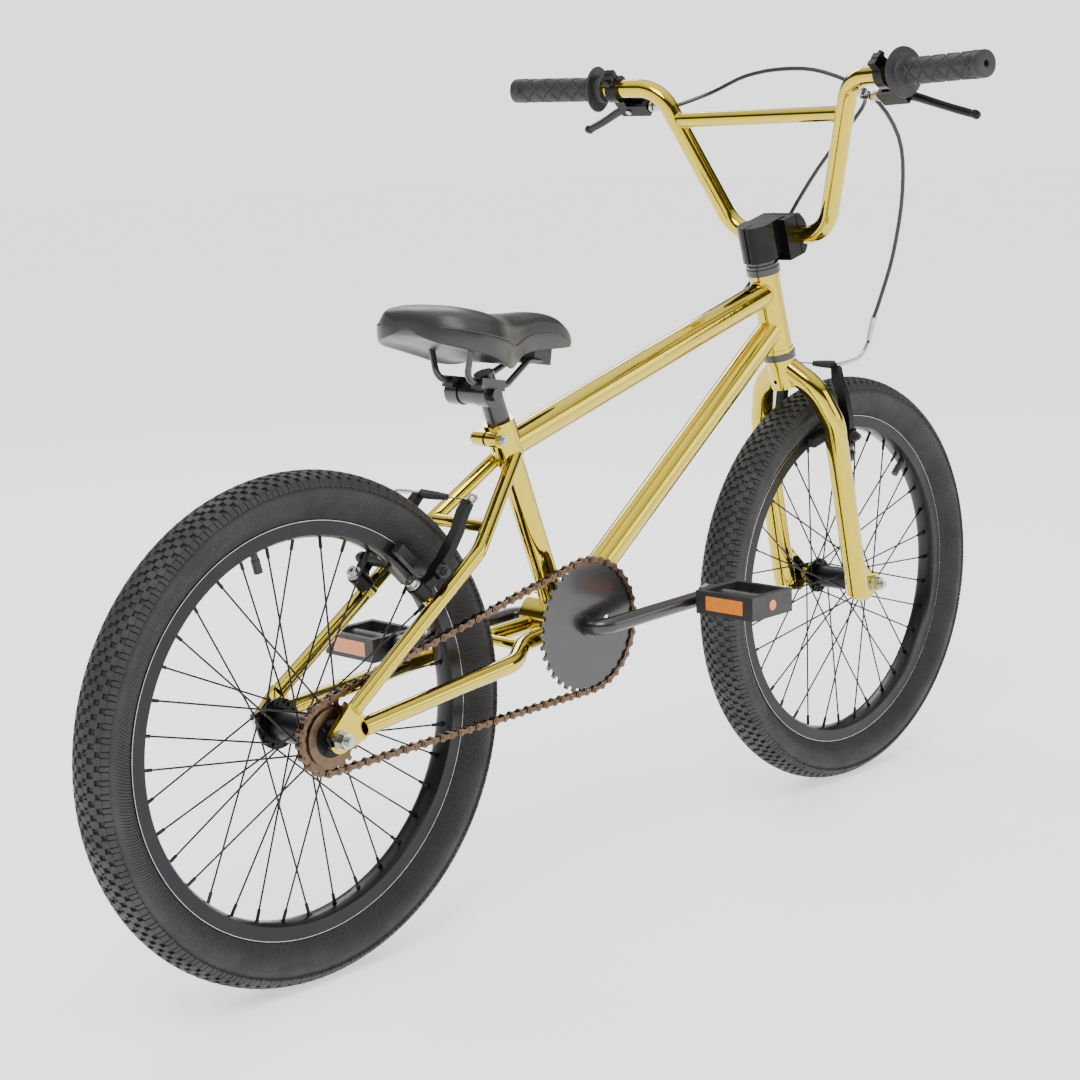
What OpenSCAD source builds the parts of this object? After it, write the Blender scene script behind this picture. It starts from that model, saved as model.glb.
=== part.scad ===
// BMX bike with 20 inch wheels.
// Origin: on the ground, midway between the wheels, in the middle plane.
// +X points forward, +Y to the rider's left, +Z up. All sizes are in millimetres.

/* [Frame] */
// Distance between the two axles
wheelbase = 888; // [880:1:980]
// Height of the crank axle above the wheel axles
crank_rise = 41; // [30:1:50]
// Angle of the head tube above the ground
head_angle = 75; // [73:0.5:76]
// Length of the head tube
head_tube_len = 100; // [90:1:120]
// Outer diameter of the head tube
head_tube_d = 36; // [35:0.5:38]
// Angle of the seat tube above the ground
seat_angle = 70.5; // [68:0.5:73]
// Length of the seat tube above the crank axle
seat_tube_len = 247; // [225:1:270]
// Outer diameter of the seat tube
seat_tube_d = 28.6; // [28:0.1:30]
// Outer diameter of the top tube
top_tube_d = 31.8; // [26:0.1:33]
// Outer diameter of the down tube
down_tube_d = 31.8; // [28:0.1:34]
// Wall of the frame tubes
tube_wall = 1.5; // [1:0.1:2]
// Diameter of the seat stays
seat_stay_d = 16; // [13:0.5:17]
// Diameter of the chain stays
chain_stay_d = 19; // [15:0.5:20]
// Outer diameter of the bottom bracket shell
shell_d = 57; // [54:0.5:60]
// Width of the bottom bracket shell
shell_w = 68; // [64:1:70]

/* [Wheels] */
// Outer diameter of the tyres
tyre_d = 516; // [500:1:530]
// Width of the tyres
tyre_w = 56; // [50:1:58]
// Thickness of the tyre casing and tread
tyre_wall = 4; // [3:0.5:6]
// Outer diameter of the rims
rim_d = 419; // [415:1:422]
// Width of the rims
rim_w = 25; // [24:0.5:28]
// Height of the rim section
rim_h = 17.5; // [15:0.5:20]
// Thickness of the rim walls
rim_wall = 1.8; // [1.2:0.1:2.2]
// Diameter of a spoke
spoke_d = 2; // [1.6:0.1:2.3]
// Front hub width over the lock nuts
front_hub_w = 100; // [96:1:104]
// Rear hub width over the lock nuts
rear_hub_w = 110; // [108:1:114]
// Diameter of the front axle
front_axle_d = 9.5; // [8:0.1:10]
// Diameter of the rear axle
rear_axle_d = 9.5; // [9:0.1:10]

/* [Fork] */
// Distance from the steering axis to the front axle
fork_offset = 37; // [30:1:42]
// Gap between the fork crown and the tyre
crown_gap = 22; // [15:1:35]
// Outer diameter of the fork legs
fork_leg_d = 28; // [25:0.5:29]
// Outer diameter of the steerer tube
steerer_d = 25.4; // [24:0.1:26]
// Distance from the middle plane to the axis of each leg
fork_leg_y = 57; // [55:0.5:60]

/* [Handlebar] */
// Width over the ends of the grips
bar_w = 700; // [640:1:740]
// Rise of the handlebar along its own plane
bar_rise = 187; // [170:1:210]
// Outer diameter of the handlebar
bar_d = 22.2; // [22:0.1:23]
// Diameter of the crossbar
crossbar_d = 18; // [12:0.5:20]
// Length of each grip
grip_len = 124; // [110:1:135]
// Diameter of each grip
grip_d = 30; // [28:0.5:34]
// Reach of the stem from the steering axis to the handlebar
stem_reach = 45; // [42:1:55]

/* [Drive] */
// Teeth of the chainring
ring_teeth = 36; // [34:1:38]
// Teeth of the freewheel
cog_teeth = 18; // [16:1:19]
// Number of chain links
chain_links = 86; // [84:2:88]
// Pitch of the chain
pitch = 12.7; // [12.7]
// Distance from the middle plane to the chain
chain_y = 43; // [42.5:0.1:43.5]
// Length of each crank arm
crank_len = 152; // [140:1:170]
// Angle of the right crank arm above the horizontal
crank_angle = 5; // [0:1:8]

/* [Seat] */
// Diameter of the seat post
post_d = 25.4; // [25:0.1:26]
// Height of the rail clamp above the top of the seat tube
post_out = 48; // [40:1:70]
// Length of the saddle
saddle_len = 240; // [225:1:270]
// Width of the saddle
saddle_w = 160; // [140:1:190]
// Nose-down angle of the saddle
saddle_tilt = 10; // [0:1:12]

/* [Brakes] */
// Distance between the two brake pivots of one wheel
pivot_spread = 90; // [88:1:94]
// Distance from the brake pivot to the cable anchor
brake_arm_len = 104; // [98:1:110]
// Gap between a brake pad and the rim
pad_gap = 2; // [1:0.5:3]

/* [Clearances] */
// Radial clearance of a turning fit
run_fit = 0.05; // [0.02:0.01:0.1]
// Gap between moving parts that pass each other
gap = 0.3; // [0.3:0.1:0.5]

/* [Hidden] */
$fn = 48;

// Colours
gold = [0.80, 0.68, 0.05];
black = [0.08, 0.08, 0.09];
rubber = [0.13, 0.12, 0.12];
steel = [0.62, 0.62, 0.60];
bronze = [0.33, 0.25, 0.20];

// ---- vectors -------------------------------------------------------------------------------

function unit(v) = v / norm(v);
// A vector of length one in the middle plane, at an angle above the forward direction
function tilt(a) = [cos(a), 0, sin(a)];
function side_of(y) = y < 0 ? -1 : 1;
function flip_y(p) = [p[0], -p[1], p[2]];

// Places its children with their own axes along x, y and z, from point o
module placed(o, x, y, z) {
    multmatrix([
        [x[0], y[0], z[0], o[0]],
        [x[1], y[1], z[1], o[1]],
        [x[2], y[2], z[2], o[2]],
        [0, 0, 0, 1]]) children();
}

// Places its children with their z axis along d, from point o
module aimed(o, d) {
    z = unit(d);
    x = abs(z[1]) > 0.9 ? [1, 0, 0] : unit(cross([0, 1, 0], z));
    x1 = unit(x - (x * z) * z);
    placed(o, x1, cross(z, x1), z) children();
}

// A round bar from a to b
module rod(a, b, d) {
    aimed(a, b - a) cylinder(d = d, h = norm(b - a));
}

// The children turned so that their z axis becomes the bike's +Y
module on_axle() {
    rotate([-90, 0, 0]) children();
}

// Tangent length that a bend of radius r takes from each side of corner i
function bend_cut(pts, i, r) =
    let (u = unit(pts[i] - pts[i - 1]), v = unit(pts[i + 1] - pts[i]))
    r * tan(acos(min(1, u * v)) / 2);

// A round bar along straight stretches with a bend of radius r at each inner corner.
// The bends are a hair thicker, and the straight bars lap into them.
bend_extra = 0.2;
lap = 1;
module bent_rod(pts, d, r, extra = 0) {
    n = len(pts);
    for (i = [0:n - 2]) {
        u = unit(pts[i + 1] - pts[i]);
        a = i == 0 ? pts[0] - extra * u : pts[i] + (bend_cut(pts, i, r) - lap) * u;
        b = i == n - 2 ? pts[n - 1] + extra * u : pts[i + 1] - (bend_cut(pts, i + 1, r) - lap) * u;
        rod(a, b, d);
    }
    for (i = [1:n - 2]) {
        u = unit(pts[i] - pts[i - 1]);
        v = unit(pts[i + 1] - pts[i]);
        inward = unit(v - (u * v) * u);
        start = pts[i] - bend_cut(pts, i, r) * u;
        placed(start + r * inward, -inward, u, cross(-inward, u))
            rotate_extrude(angle = acos(u * v)) translate([r, 0]) circle(d = d + bend_extra);
    }
}

// A tube along the same route
module bent_tube(pts, d, wall, r) {
    difference() {
        bent_rod(pts, d, r);
        bent_rod(pts, d - 2 * wall, r, 1);
    }
}

// ---- main points ---------------------------------------------------------------------------

tyre_r = tyre_d / 2;
rim_r = rim_d / 2;
rear_hub_at = [-wheelbase / 2, 0, tyre_r];
front_hub_at = [wheelbase / 2, 0, tyre_r];

// The chain sets the distance from the crank to the rear axle:
// half of the links less the wrap of the two wheels, solved by repeated substitution
ring_r = pitch / (2 * sin(180 / ring_teeth));
cog_r = pitch / (2 * sin(180 / cog_teeth));
function centre_dist(c, n) =
    n == 0 ? c : centre_dist(
        pitch / 2 * (chain_links - (ring_teeth + cog_teeth) / 2
            - pow((ring_teeth - cog_teeth) / (2 * PI), 2) * pitch / c), n - 1);
chain_centre = centre_dist(370, 12);
crank_at = rear_hub_at + [sqrt(pow(chain_centre, 2) - pow(crank_rise, 2)), 0, crank_rise];

// The fork: "down" runs along the steering axis to the ground, "ahead" square to it
down = [cos(head_angle), 0, -sin(head_angle)];
ahead = [sin(head_angle), 0, cos(head_angle)];
base_top = 9.6;
base_len = 36;
fork_len = sqrt(pow(tyre_r, 2) - pow(fork_offset, 2)) + crown_gap + base_top + base_len;
head_low = front_hub_at - fork_len * down - fork_offset * ahead;
head_top = head_low - head_tube_len * down;
// A point at s along the steering axis from the foot of the head tube, e ahead of it, y to the left
function fork_at(s, e, y = 0) = head_low + s * down + e * ahead + [0, y, 0];

// The seat tube
seat_dir = [-cos(seat_angle), 0, sin(seat_angle)];
seat_back = [-sin(seat_angle), 0, -cos(seat_angle)];
seat_top = crank_at + seat_tube_len * seat_dir;
function seat_at(t, b, y = 0) = crank_at + t * seat_dir + b * seat_back + [0, y, 0];

// Where the tubes of the front triangle meet the head tube and the seat tube
top_tube_front = head_top + 23 * down;
top_tube_rear = seat_top - 31 * seat_dir;
down_tube_front = head_low - 33 * down;

// ---- frame ---------------------------------------------------------------------------------

module head_tube() {
    color(gold) difference() {
        union() {
            rod(head_low, head_top, head_tube_d);
            for (s = [0, -head_tube_len + 5])
                rod(fork_at(s, 0), fork_at(s - 5, 0), head_tube_d + 2);
        }
        rod(fork_at(1, 0), fork_at(-head_tube_len - 1, 0), head_tube_d - 5);
    }
}

module top_tube() {
    color(gold) difference() {
        rod(top_tube_rear, top_tube_front, top_tube_d);
        rod(top_tube_rear - 30 * tilt(20), top_tube_front + 30 * tilt(20), top_tube_d - 2 * tube_wall);
        rod(fork_at(1, 0), fork_at(-head_tube_len - 1, 0), head_tube_d);
        rod(crank_at, seat_top + 20 * seat_dir, seat_tube_d);
        seat_collar_space();
    }
}

module down_tube() {
    d = unit(down_tube_front - crank_at);
    color(gold) difference() {
        rod(crank_at, down_tube_front, down_tube_d);
        rod(crank_at - 5 * d, down_tube_front + 30 * d, down_tube_d - 2 * tube_wall);
        rod(fork_at(6, 0), fork_at(-head_tube_len, 0), head_tube_d);
        rod(fork_at(0, 0), fork_at(-5, 0), head_tube_d + 2);
        rod(crank_at - [0, 60, 0], crank_at + [0, 60, 0], shell_d);
        rod(crank_at, seat_top, seat_tube_d);
        top_tube_space();
    }
}

// The room that the top tube takes where the down tube comes close to it
module top_tube_space() {
    rod(top_tube_rear, top_tube_front, top_tube_d);
}

collar_h = 40;
collar_d = seat_tube_d + 6;
ear_back = 20;
ear_w = 36;

module seat_collar_space() {
    rod(seat_top - collar_h * seat_dir, seat_top + 1 * seat_dir, collar_d);
}

module seat_tube() {
    ear = seat_top - 12 * seat_dir;
    color(gold) difference() {
        union() {
            rod(crank_at, seat_top, seat_tube_d);
            rod(seat_top - collar_h * seat_dir, seat_top, collar_d);
            rod(ear + ear_back * seat_back - [0, ear_w / 2, 0],
                ear + ear_back * seat_back + [0, ear_w / 2, 0], 17);
            placed(ear, seat_back, [0, 1, 0], -seat_dir)
                translate([0, -ear_w / 2 + 4, -8.5]) cube([ear_back, ear_w - 8, 17]);
        }
        rod(crank_at, seat_top + 1 * seat_dir, post_d + 0.1);
        rod(crank_at - [0, 60, 0], crank_at + [0, 60, 0], shell_d);
        placed(seat_top, seat_back, [0, 1, 0], -seat_dir)
            translate([0, -1.5, -1]) cube([40, 3, 30]);
        rod(ear + ear_back * seat_back - [0, 30, 0], ear + ear_back * seat_back + [0, 30, 0], 6.6);
    }
}

cup_seat_d = shell_d - 6;

module bottom_bracket_shell() {
    color(gold) translate(crank_at) on_axle() difference() {
        cylinder(d = shell_d, h = shell_w, center = true);
        cylinder(d = cup_seat_d, h = shell_w + 2, center = true);
    }
}

// Stays: each runs from its tube past the tyre to the plate that holds the axle
plate_y = rear_hub_w / 2;
plate_t = 6;
stay_end_y = plate_y + plate_t / 2;
axle_slot = rear_axle_d + 0.5;
stay_slope = tilt(34.6);
seat_stay_end = rear_hub_at + [19, 0, 25];
seat_stay_pts = [
    seat_top - 40 * seat_dir + [0, 11, 0],
    seat_stay_end + 223 * stay_slope + [0, 52, 0],
    seat_stay_end + [0, stay_end_y, 0]];
chain_stay_pts = [
    crank_at + [0, 21, 0],
    crank_at + [-85, 28, -6],
    crank_at + [-121, 50.5, -16],
    rear_hub_at + [30, stay_end_y, 5]];

module axle_plate() {
    // flat plate with the slot for the axle, open at the rear
    translate(rear_hub_at + [0, plate_y + plate_t, 0]) rotate([90, 0, 0]) linear_extrude(plate_t)
        difference() {
            union() {
                circle(r = 14);
                polygon([[-9, 10.7], [14, 33], [28, 27], [30, 13], [32, -6], [0, -14]]);
            }
            circle(d = axle_slot);
            translate([-20, -axle_slot / 2]) square([20, axle_slot]);
        }
}

module chain_stay() {
    difference() {
        union() {
            bent_tube(chain_stay_pts, chain_stay_d, tube_wall, 40);
            axle_plate();
        }
        rod(crank_at - [0, 60, 0], crank_at + [0, 60, 0], shell_d);
        rod(crank_at, seat_top, seat_tube_d);
    }
}

module chain_stays() {
    color(gold) {
        chain_stay();
        mirror([0, 1, 0]) chain_stay();
    }
}

// Brakes: each has a frame of its own, with the pivot line as its origin, "up" along the arm and
// "out" along the pivot pin, away from the frame
rear_pivot = rear_hub_at + 173 * stay_slope + 31.5 * tilt(34.6 + 90);
rear_brake_angle = 44.6;
front_pivot = fork_at(fork_len - 174.5, 34);
front_brake_angle = 93;
arm_y = pivot_spread / 2;

// A point in a brake's frame: y to the left, o out along the pin, u up the arm
function brake_at(pivot, angle, y, o, u) =
    pivot + [0, y, 0] + o * tilt(angle + (angle > 90 ? -90 : 90)) + u * tilt(angle);

boss_d = 13;
stud_d = 9;

module brake_stud(pivot, angle, y, depth) {
    rod(brake_at(pivot, angle, y, -depth, 0), brake_at(pivot, angle, y, -10, 0), boss_d);
    rod(brake_at(pivot, angle, y, -depth, 0), brake_at(pivot, angle, y, 10, 0), stud_d);
}

module seat_stay() {
    difference() {
        union() {
            bent_rod(seat_stay_pts, seat_stay_d, 50);
            brake_stud(rear_pivot, rear_brake_angle, arm_y, 22);
        }
        translate([0, stay_end_y, 0]) axle_plate_space();
        rod(crank_at, seat_top, seat_tube_d);
        seat_collar_space();
        mid_cut();
    }
}

// Keeps the two stays apart where they meet behind the seat tube
module mid_cut() {
    translate(seat_top - 60 * seat_dir + [-60, -30, -60]) cube([120, 30.2, 120]);
}

// The slot in a stay's end that the plate sits in
module axle_plate_space() {
    translate([0, -stay_end_y, 0]) axle_plate();
}

module seat_stays() {
    color(gold) {
        seat_stay();
        mirror([0, 1, 0]) seat_stay();
    }
}

module stay_bridges() {
    bridge_r = tyre_r + 24;
    stay_dir = unit(seat_stay_pts[0] - seat_stay_pts[1]);
    seat_bridge = seat_stay_pts[1] + 34 * stay_dir - [0, (seat_stay_pts[1] + 34 * stay_dir)[1], 0];
    chain_bridge = rear_hub_at + [bridge_r, 0, 34];
    color(gold) difference() {
        union() {
            rod(seat_bridge - [0, 46, 0], seat_bridge + [0, 46, 0], 14);
            rod(chain_bridge - [0, 36, 0], chain_bridge + [0, 36, 0], 12);
        }
        bent_rod(seat_stay_pts, seat_stay_d, 50);
        mirror([0, 1, 0]) bent_rod(seat_stay_pts, seat_stay_d, 50);
        bent_rod(chain_stay_pts, chain_stay_d, 40);
        mirror([0, 1, 0]) bent_rod(chain_stay_pts, chain_stay_d, 40);
        for (s = [-1, 1]) {
            translate(seat_bridge + [0, s * 66, 0]) cube([80, 40, 80], center = true);
            translate(chain_bridge + [0, s * 52, 0]) cube([60, 32, 60], center = true);
        }
    }
}

module hex_head(d, h) {
    cylinder(d = d / cos(30), h = h, $fn = 6);
}

module pivot_bolt(pivot, angle, y) {
    // screwed on the end of the stud, over the arm
    o = brake_at(pivot, angle, y, 10, 0);
    aimed(o, brake_at(pivot, angle, y, 20, 0) - o) difference() {
        union() {
            cylinder(d = 16, h = 1.5);
            cylinder(d = 12, h = 7);
        }
        translate([0, 0, 3.5]) hex_head(5, 4);
    }
}

module frame_bolts() {
    ear = seat_top - 12 * seat_dir + ear_back * seat_back;
    color(steel) {
        rod(ear - [0, 26, 0], ear + [0, 22, 0], 6.4);
        aimed(ear - [0, ear_w / 2 + 0.1, 0], [0, -1, 0]) hex_head(10, 5);
        aimed(ear + [0, ear_w / 2 + 0.1, 0], [0, 1, 0]) difference() {
            hex_head(10, 5);
            cylinder(d = 7, h = 20, center = true);
        }
        pivot_bolt(rear_pivot, rear_brake_angle, arm_y);
        pivot_bolt(rear_pivot, rear_brake_angle, -arm_y);
    }
}

// ---- headset -------------------------------------------------------------------------------

race_d = steerer_d + 2 * run_fit;
cup_h = 8;

module headset_cups() {
    color(black) for (end = [0, 1]) {
        o = end == 0 ? head_low : head_top;
        d = end == 0 ? down : -down;
        aimed(o, d) {
            difference() {
                union() {
                    translate([0, 0, -8]) cylinder(d = head_tube_d - 5, h = 8);
                    cylinder(d = head_tube_d + 5, h = cup_h);
                }
                translate([0, 0, -9]) cylinder(d = race_d + 1, h = 30);
                translate([0, 0, cup_h - 4]) cylinder(d = head_tube_d, h = 10);
            }
            // ring of balls in its cage
            translate([0, 0, cup_h - 3.9]) difference() {
                cylinder(d = head_tube_d - 0.2, h = 4.4);
                translate([0, 0, -1]) cylinder(d = race_d + 1, h = 10);
            }
        }
    }
}

nut_s = -head_tube_len - cup_h;
stem_low = nut_s - 9;

module headset_nuts() {
    color(black) aimed(fork_at(nut_s, 0), -down) {
        difference() {
            union() {
                translate([0, 0, 0.8]) cylinder(d = head_tube_d + 3, h = 3.2);
                translate([0, 0, 4]) cylinder(d = head_tube_d - 2, h = 4.5);
            }
            cylinder(d = steerer_d + 0.02, h = 30, center = true);
        }
    }
}

// ---- fork ----------------------------------------------------------------------------------

stem_h = 44;
steerer_top = stem_low - stem_h + 4;

module steerer() {
    color(gold) difference() {
        union() {
            rod(fork_at(base_top, 0), fork_at(steerer_top, 0), steerer_d);
            rod(fork_at(base_top, 0), fork_at(base_top + base_len, 0), 32);
            rod(fork_at(base_top - 1, 0), fork_at(base_top + 4, 0), 36);
        }
        rod(fork_at(base_top + base_len - 6, 0), fork_at(steerer_top - 1, 0), steerer_d - 6);
        rod(fork_at(base_top + base_len - 11, -40), fork_at(base_top + base_len - 11, 0), 5);
    }
}

fork_foot = fork_len - 5;
leg_pts = [
    fork_at(16, 3, 0), fork_at(50, 9, 40), fork_at(96, 12, fork_leg_y - 1),
    fork_at(fork_foot, -2, fork_leg_y)];
fork_plate_y = front_hub_w / 2;
fork_plate_t = 5;

module fork_plate() {
    translate(front_hub_at + [0, fork_plate_y + fork_plate_t, 0]) rotate([90, 0, 0])
        linear_extrude(fork_plate_t) difference() {
            union() {
                circle(r = 13);
                polygon([[-40, -14], [-52, 30], [-42, 48], [-4, 12.4], [12, 5], [10, -8.3], [0, -13], [-16, -19]]);
            }
            circle(d = front_axle_d + 0.5);
            rotate(-70) translate([0, -front_axle_d / 2 - 0.1]) square([30, front_axle_d + 0.2]);
        }
}

module fork_leg() {
    difference() {
        union() {
            difference() {
                bent_rod(leg_pts, fork_leg_d, 60);
                bent_rod([leg_pts[1], leg_pts[2], leg_pts[3]], fork_leg_d - 5, 60, -3);
            }
            fork_plate();
            brake_stud(front_pivot, front_brake_angle, arm_y, 18);
        }
        rod(fork_at(base_top - 2, 0), fork_at(base_top + base_len + 40, 0), 32);
        rod(fork_at(-20, 0), fork_at(base_top + 4, 0), 46);
        translate([head_low[0] - 60, -30, head_low[2] - 120]) cube([160, 30.2, 160]);
    }
}

module fork_legs() {
    color(gold) {
        fork_leg();
        mirror([0, 1, 0]) fork_leg();
    }
}

// ---- stem and handlebar --------------------------------------------------------------------

bar_s = stem_low - stem_h / 2 + 6;
bar_at_stem = fork_at(bar_s, stem_reach);
bar_up = tilt(180 - head_angle + 2);
bar_back = tilt(180 - head_angle + 92);
stem_w = 52;
bar_z = stem_h / 2 - 6;
bolt_y = 18;
bolt_z = [bar_z - 18, bar_z + 18];

// A point of the handlebar: y to the left, h up its plane, b behind that plane
function bar_at(y, h, b) = bar_at_stem + h * bar_up + b * bar_back + [0, y, 0];

low_half = 67;
high_half = 143;
bar_half = bar_w / 2 - 4;
sweep_back = 0.184;
sweep_up = 0.084;
function hand_at(y) =
    bar_at(y, bar_rise + sweep_up * (abs(y) - high_half), sweep_back * (abs(y) - high_half));
half_bar = [hand_at(bar_half), bar_at(high_half, bar_rise, 0), bar_at(low_half, 0, 0)];
bar_pts = [for (p = half_bar) p, for (i = [2:-1:0]) flip_y(half_bar[i])];
crossbar_h = 146;
crossbar_y = low_half + (high_half - low_half) * crossbar_h / bar_rise;

module handlebar() {
    color(gold) difference() {
        union() {
            bent_rod(bar_pts, bar_d, 44);
            rod(bar_at(-crossbar_y, crossbar_h, 0), bar_at(crossbar_y, crossbar_h, 0), crossbar_d);
        }
        bent_rod(bar_pts, bar_d - 4.4, 44, 1);
    }
}

module stem() {
    color(black) placed(fork_at(stem_low, 0), ahead, [0, 1, 0], -down) difference() {
        union() {
            cylinder(d = 44, h = stem_h);
            translate([0, -16, 2]) cube([stem_reach - 8, 32, stem_h - 4]);
            translate([stem_reach - 22, -stem_w / 2, bar_z - 25]) cube([22, stem_w, 50]);
        }
        translate([0, 0, -1]) cylinder(d = steerer_d + 0.06, h = stem_h - 2);
        translate([stem_reach, 0, bar_z]) rotate([90, 0, 0])
            cylinder(d = bar_d + 0.06, h = 80, center = true);
        translate([-30, -1, -1]) cube([26, 2, stem_h + 2]);
        for (y = [-bolt_y, bolt_y], z = bolt_z) translate([stem_reach - 18, y, z])
            rotate([0, 90, 0]) cylinder(d = 6.2, h = 30);
    }
}

module stem_cap() {
    color(black) placed(fork_at(stem_low, 0), ahead, [0, 1, 0], -down) difference() {
        intersection() {
            translate([stem_reach + 1.5, -stem_w / 2, bar_z - 25]) cube([18, stem_w, 50]);
            translate([stem_reach - 12, 0, bar_z]) rotate([90, 0, 0])
                cylinder(d = 62, h = stem_w, center = true);
        }
        translate([stem_reach, 0, bar_z]) rotate([90, 0, 0])
            cylinder(d = bar_d + 0.06, h = 80, center = true);
        for (y = [-bolt_y, bolt_y], z = bolt_z) translate([stem_reach, y, z]) rotate([0, 90, 0]) {
            cylinder(d = 6.2, h = 60);
            translate([0, 0, 8]) cylinder(d = 10.6, h = 60);
        }
    }
}

module fork_bolts() {
    color(steel) {
        placed(fork_at(stem_low, 0), ahead, [0, 1, 0], -down)
            for (y = [-bolt_y, bolt_y], z = bolt_z) translate([stem_reach, y, z]) rotate([0, 90, 0]) {
                translate([0, 0, -17]) cylinder(d = 6, h = 26);
                translate([0, 0, 8.1]) difference() {
                    cylinder(d = 10, h = 7);
                    translate([0, 0, 3.5]) hex_head(5, 4);
                }
            }
        pivot_bolt(front_pivot, front_brake_angle, arm_y);
        pivot_bolt(front_pivot, front_brake_angle, -arm_y);
    }
}

// ---- grips, levers -------------------------------------------------------------------------

grip_bore = bar_d + 0.08;
function hand_dir(s) = unit(hand_at(s * 300) - hand_at(s * 200));
grip_in = bar_w / 2 - grip_len;

module grip(s) {
    a = hand_at(s * grip_in);
    depth = norm(hand_at(bar_half) - hand_at(grip_in)) + 0.1;
    color(rubber) aimed(a, hand_dir(s)) difference() {
        union() {
            cylinder(d = grip_d, h = depth + 4);
            translate([0, 0, -10]) cylinder(d = 32, h = 10.5);
            cylinder(d = 56, h = 3.5);
        }
        translate([0, 0, -11]) cylinder(d = grip_bore, h = depth + 11);
        translate([0, 0, depth - 1]) cylinder(d = 8, h = 20);
    }
}

module grip_left() { grip(1); }
module grip_right() { grip(-1); }

// A lever's frame: origin on the handlebar at its clamp, x along the grip towards its end,
// y away from the bar, forward and down, z square to both
clamp_y = grip_in - 24;
lever_drop = 40;
function lever_x(s) = hand_dir(s);
function lever_y(s) = let (q = [cos(lever_drop), 0, -sin(lever_drop)]) unit(q - (q * lever_x(s)) * lever_x(s));
module at_lever(s) {
    placed(hand_at(s * clamp_y), lever_x(s), lever_y(s), cross(lever_x(s), lever_y(s))) children();
}
function lever_pt(s, x, y, z = 0) =
    hand_at(s * clamp_y) + x * lever_x(s) + y * lever_y(s) + z * cross(lever_x(s), lever_y(s));

pivot_x = -6;
pivot_q = 34;
lever_t = 8;

module lever_mount(s) {
    at_lever(s) {
        difference() {
            union() {
                rotate([0, 90, 0]) cylinder(d = 33, h = 14, center = true);
                translate([-7, 0, -8]) cube([14, 24.5, 16]);
                translate([-6, -26, -8]) cube([12, 16, 16]);
                // the body runs inwards to the barrel adjuster
                translate([-34, 24, -8]) cube([40, 18, 16]);
            }
            rotate([0, 90, 0]) cylinder(d = grip_bore, h = 100, center = true);
            // slot for the lever blade
            translate([-28, 20, -lever_t / 2 - gap]) cube([60, 40, lever_t + 2 * gap]);
            // split of the clamp
            translate([-10, -40, -0.75]) cube([20, 36, 1.5]);
            translate([0, -21, 0]) cylinder(d = 5.2, h = 22, center = true);
        }
        // pivot pin
        translate([pivot_x, pivot_q, -8]) cylinder(d = 5, h = 16);
        // barrel adjuster and its lock ring
        translate([-34, 33, 0]) rotate([0, -90, 0]) difference() {
            union() {
                cylinder(d = 7, h = 18);
                translate([0, 0, 1]) cylinder(d = 13, h = 3.5);
                translate([0, 0, 8]) cylinder(d = 11, h = 10);
            }
            translate([0, 0, 12]) cylinder(d = cable_d + 1, h = 10);
        }
        // clamp bolt
        translate([0, -21, -8]) cylinder(d = 5, h = 17);
        translate([0, -21, 8.1]) cylinder(d = 8.5, h = 4);
    }
}

module lever_mounts() {
    color(black) {
        lever_mount(1);
        lever_mount(-1);
    }
}

module lever_blade(s) {
    color(black) at_lever(s) difference() {
        translate([0, 0, -lever_t / 2]) union() {
            linear_extrude(lever_t) {
                translate([pivot_x, pivot_q]) circle(d = 12);
                polygon([[-22, 27], [-22, 36], [-4, 41], [12, 47], [46, 66], [74, 80], [77, 72],
                    [50, 55], [14, 35], [0, 29]]);
            }
            translate([75, 76.5, 0]) cylinder(d = 12, h = lever_t);
        }
        translate([pivot_x, pivot_q, -20]) cylinder(d = 5 + 2 * run_fit, h = 40);
    }
}

module lever_left() { lever_blade(1); }
module lever_right() { lever_blade(-1); }

// ---- brake arms and pads -------------------------------------------------------------------

pad_u = 26;
pad_t = 10;
rim_face = rim_w / 2;
pad_in = rim_face + pad_gap;
arm_t = 9;

// One arm in its brake's frame: x to its own side, y out along the pin, z up the arm
module brake_arm_shape() {
    difference() {
        union() {
            translate([arm_y, -9, 0]) rotate([-90, 0, 0]) cylinder(d = 19, h = 18);
            // curved arm from the barrel to the cable anchor
            rotate([90, 0, 0]) linear_extrude(arm_t, center = true)
                polygon([[arm_y - 6, 5], [arm_y, 14], [arm_y, 42], [arm_y - 4, 75],
                    [arm_y - 12, brake_arm_len - 7], [arm_y - 12, brake_arm_len + 7],
                    [arm_y - 2, brake_arm_len + 7], [arm_y + 2, brake_arm_len - 12],
                    [arm_y + 8, 76], [arm_y + 13, 48], [arm_y + 13, 14], [arm_y + 7, 5]]);
        }
        translate([arm_y, -30, 0]) rotate([-90, 0, 0]) cylinder(d = stud_d + 2 * run_fit, h = 60);
        // slot that the pad's stud passes through
        translate([arm_y - 20, -3.5, pad_u - 9]) cube([60, 7, 18]);
    }
}

// Pad, its stud and washers
module brake_pad_shape(turn) {
    translate([0, 0, pad_u]) rotate([turn, 0, 0]) {
        translate([pad_in, -33, -5.5]) cube([pad_t, 66, 11]);
        translate([pad_in + pad_t - 1, 0, 0]) rotate([0, 90, 0]) cylinder(d = 6, h = arm_y + 26 - pad_in - pad_t);
        translate([pad_in + pad_t - 1, 0, 0]) rotate([0, 90, 0]) cylinder(d = 14, h = arm_y + 0.9 - pad_in - pad_t);
        translate([arm_y + 13.1, 0, 0]) rotate([0, 90, 0]) cylinder(d = 14, h = 5);
        translate([arm_y + 18, 0, 0]) rotate([0, 90, 0]) hex_head(9, 4.5);
    }
}

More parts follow.
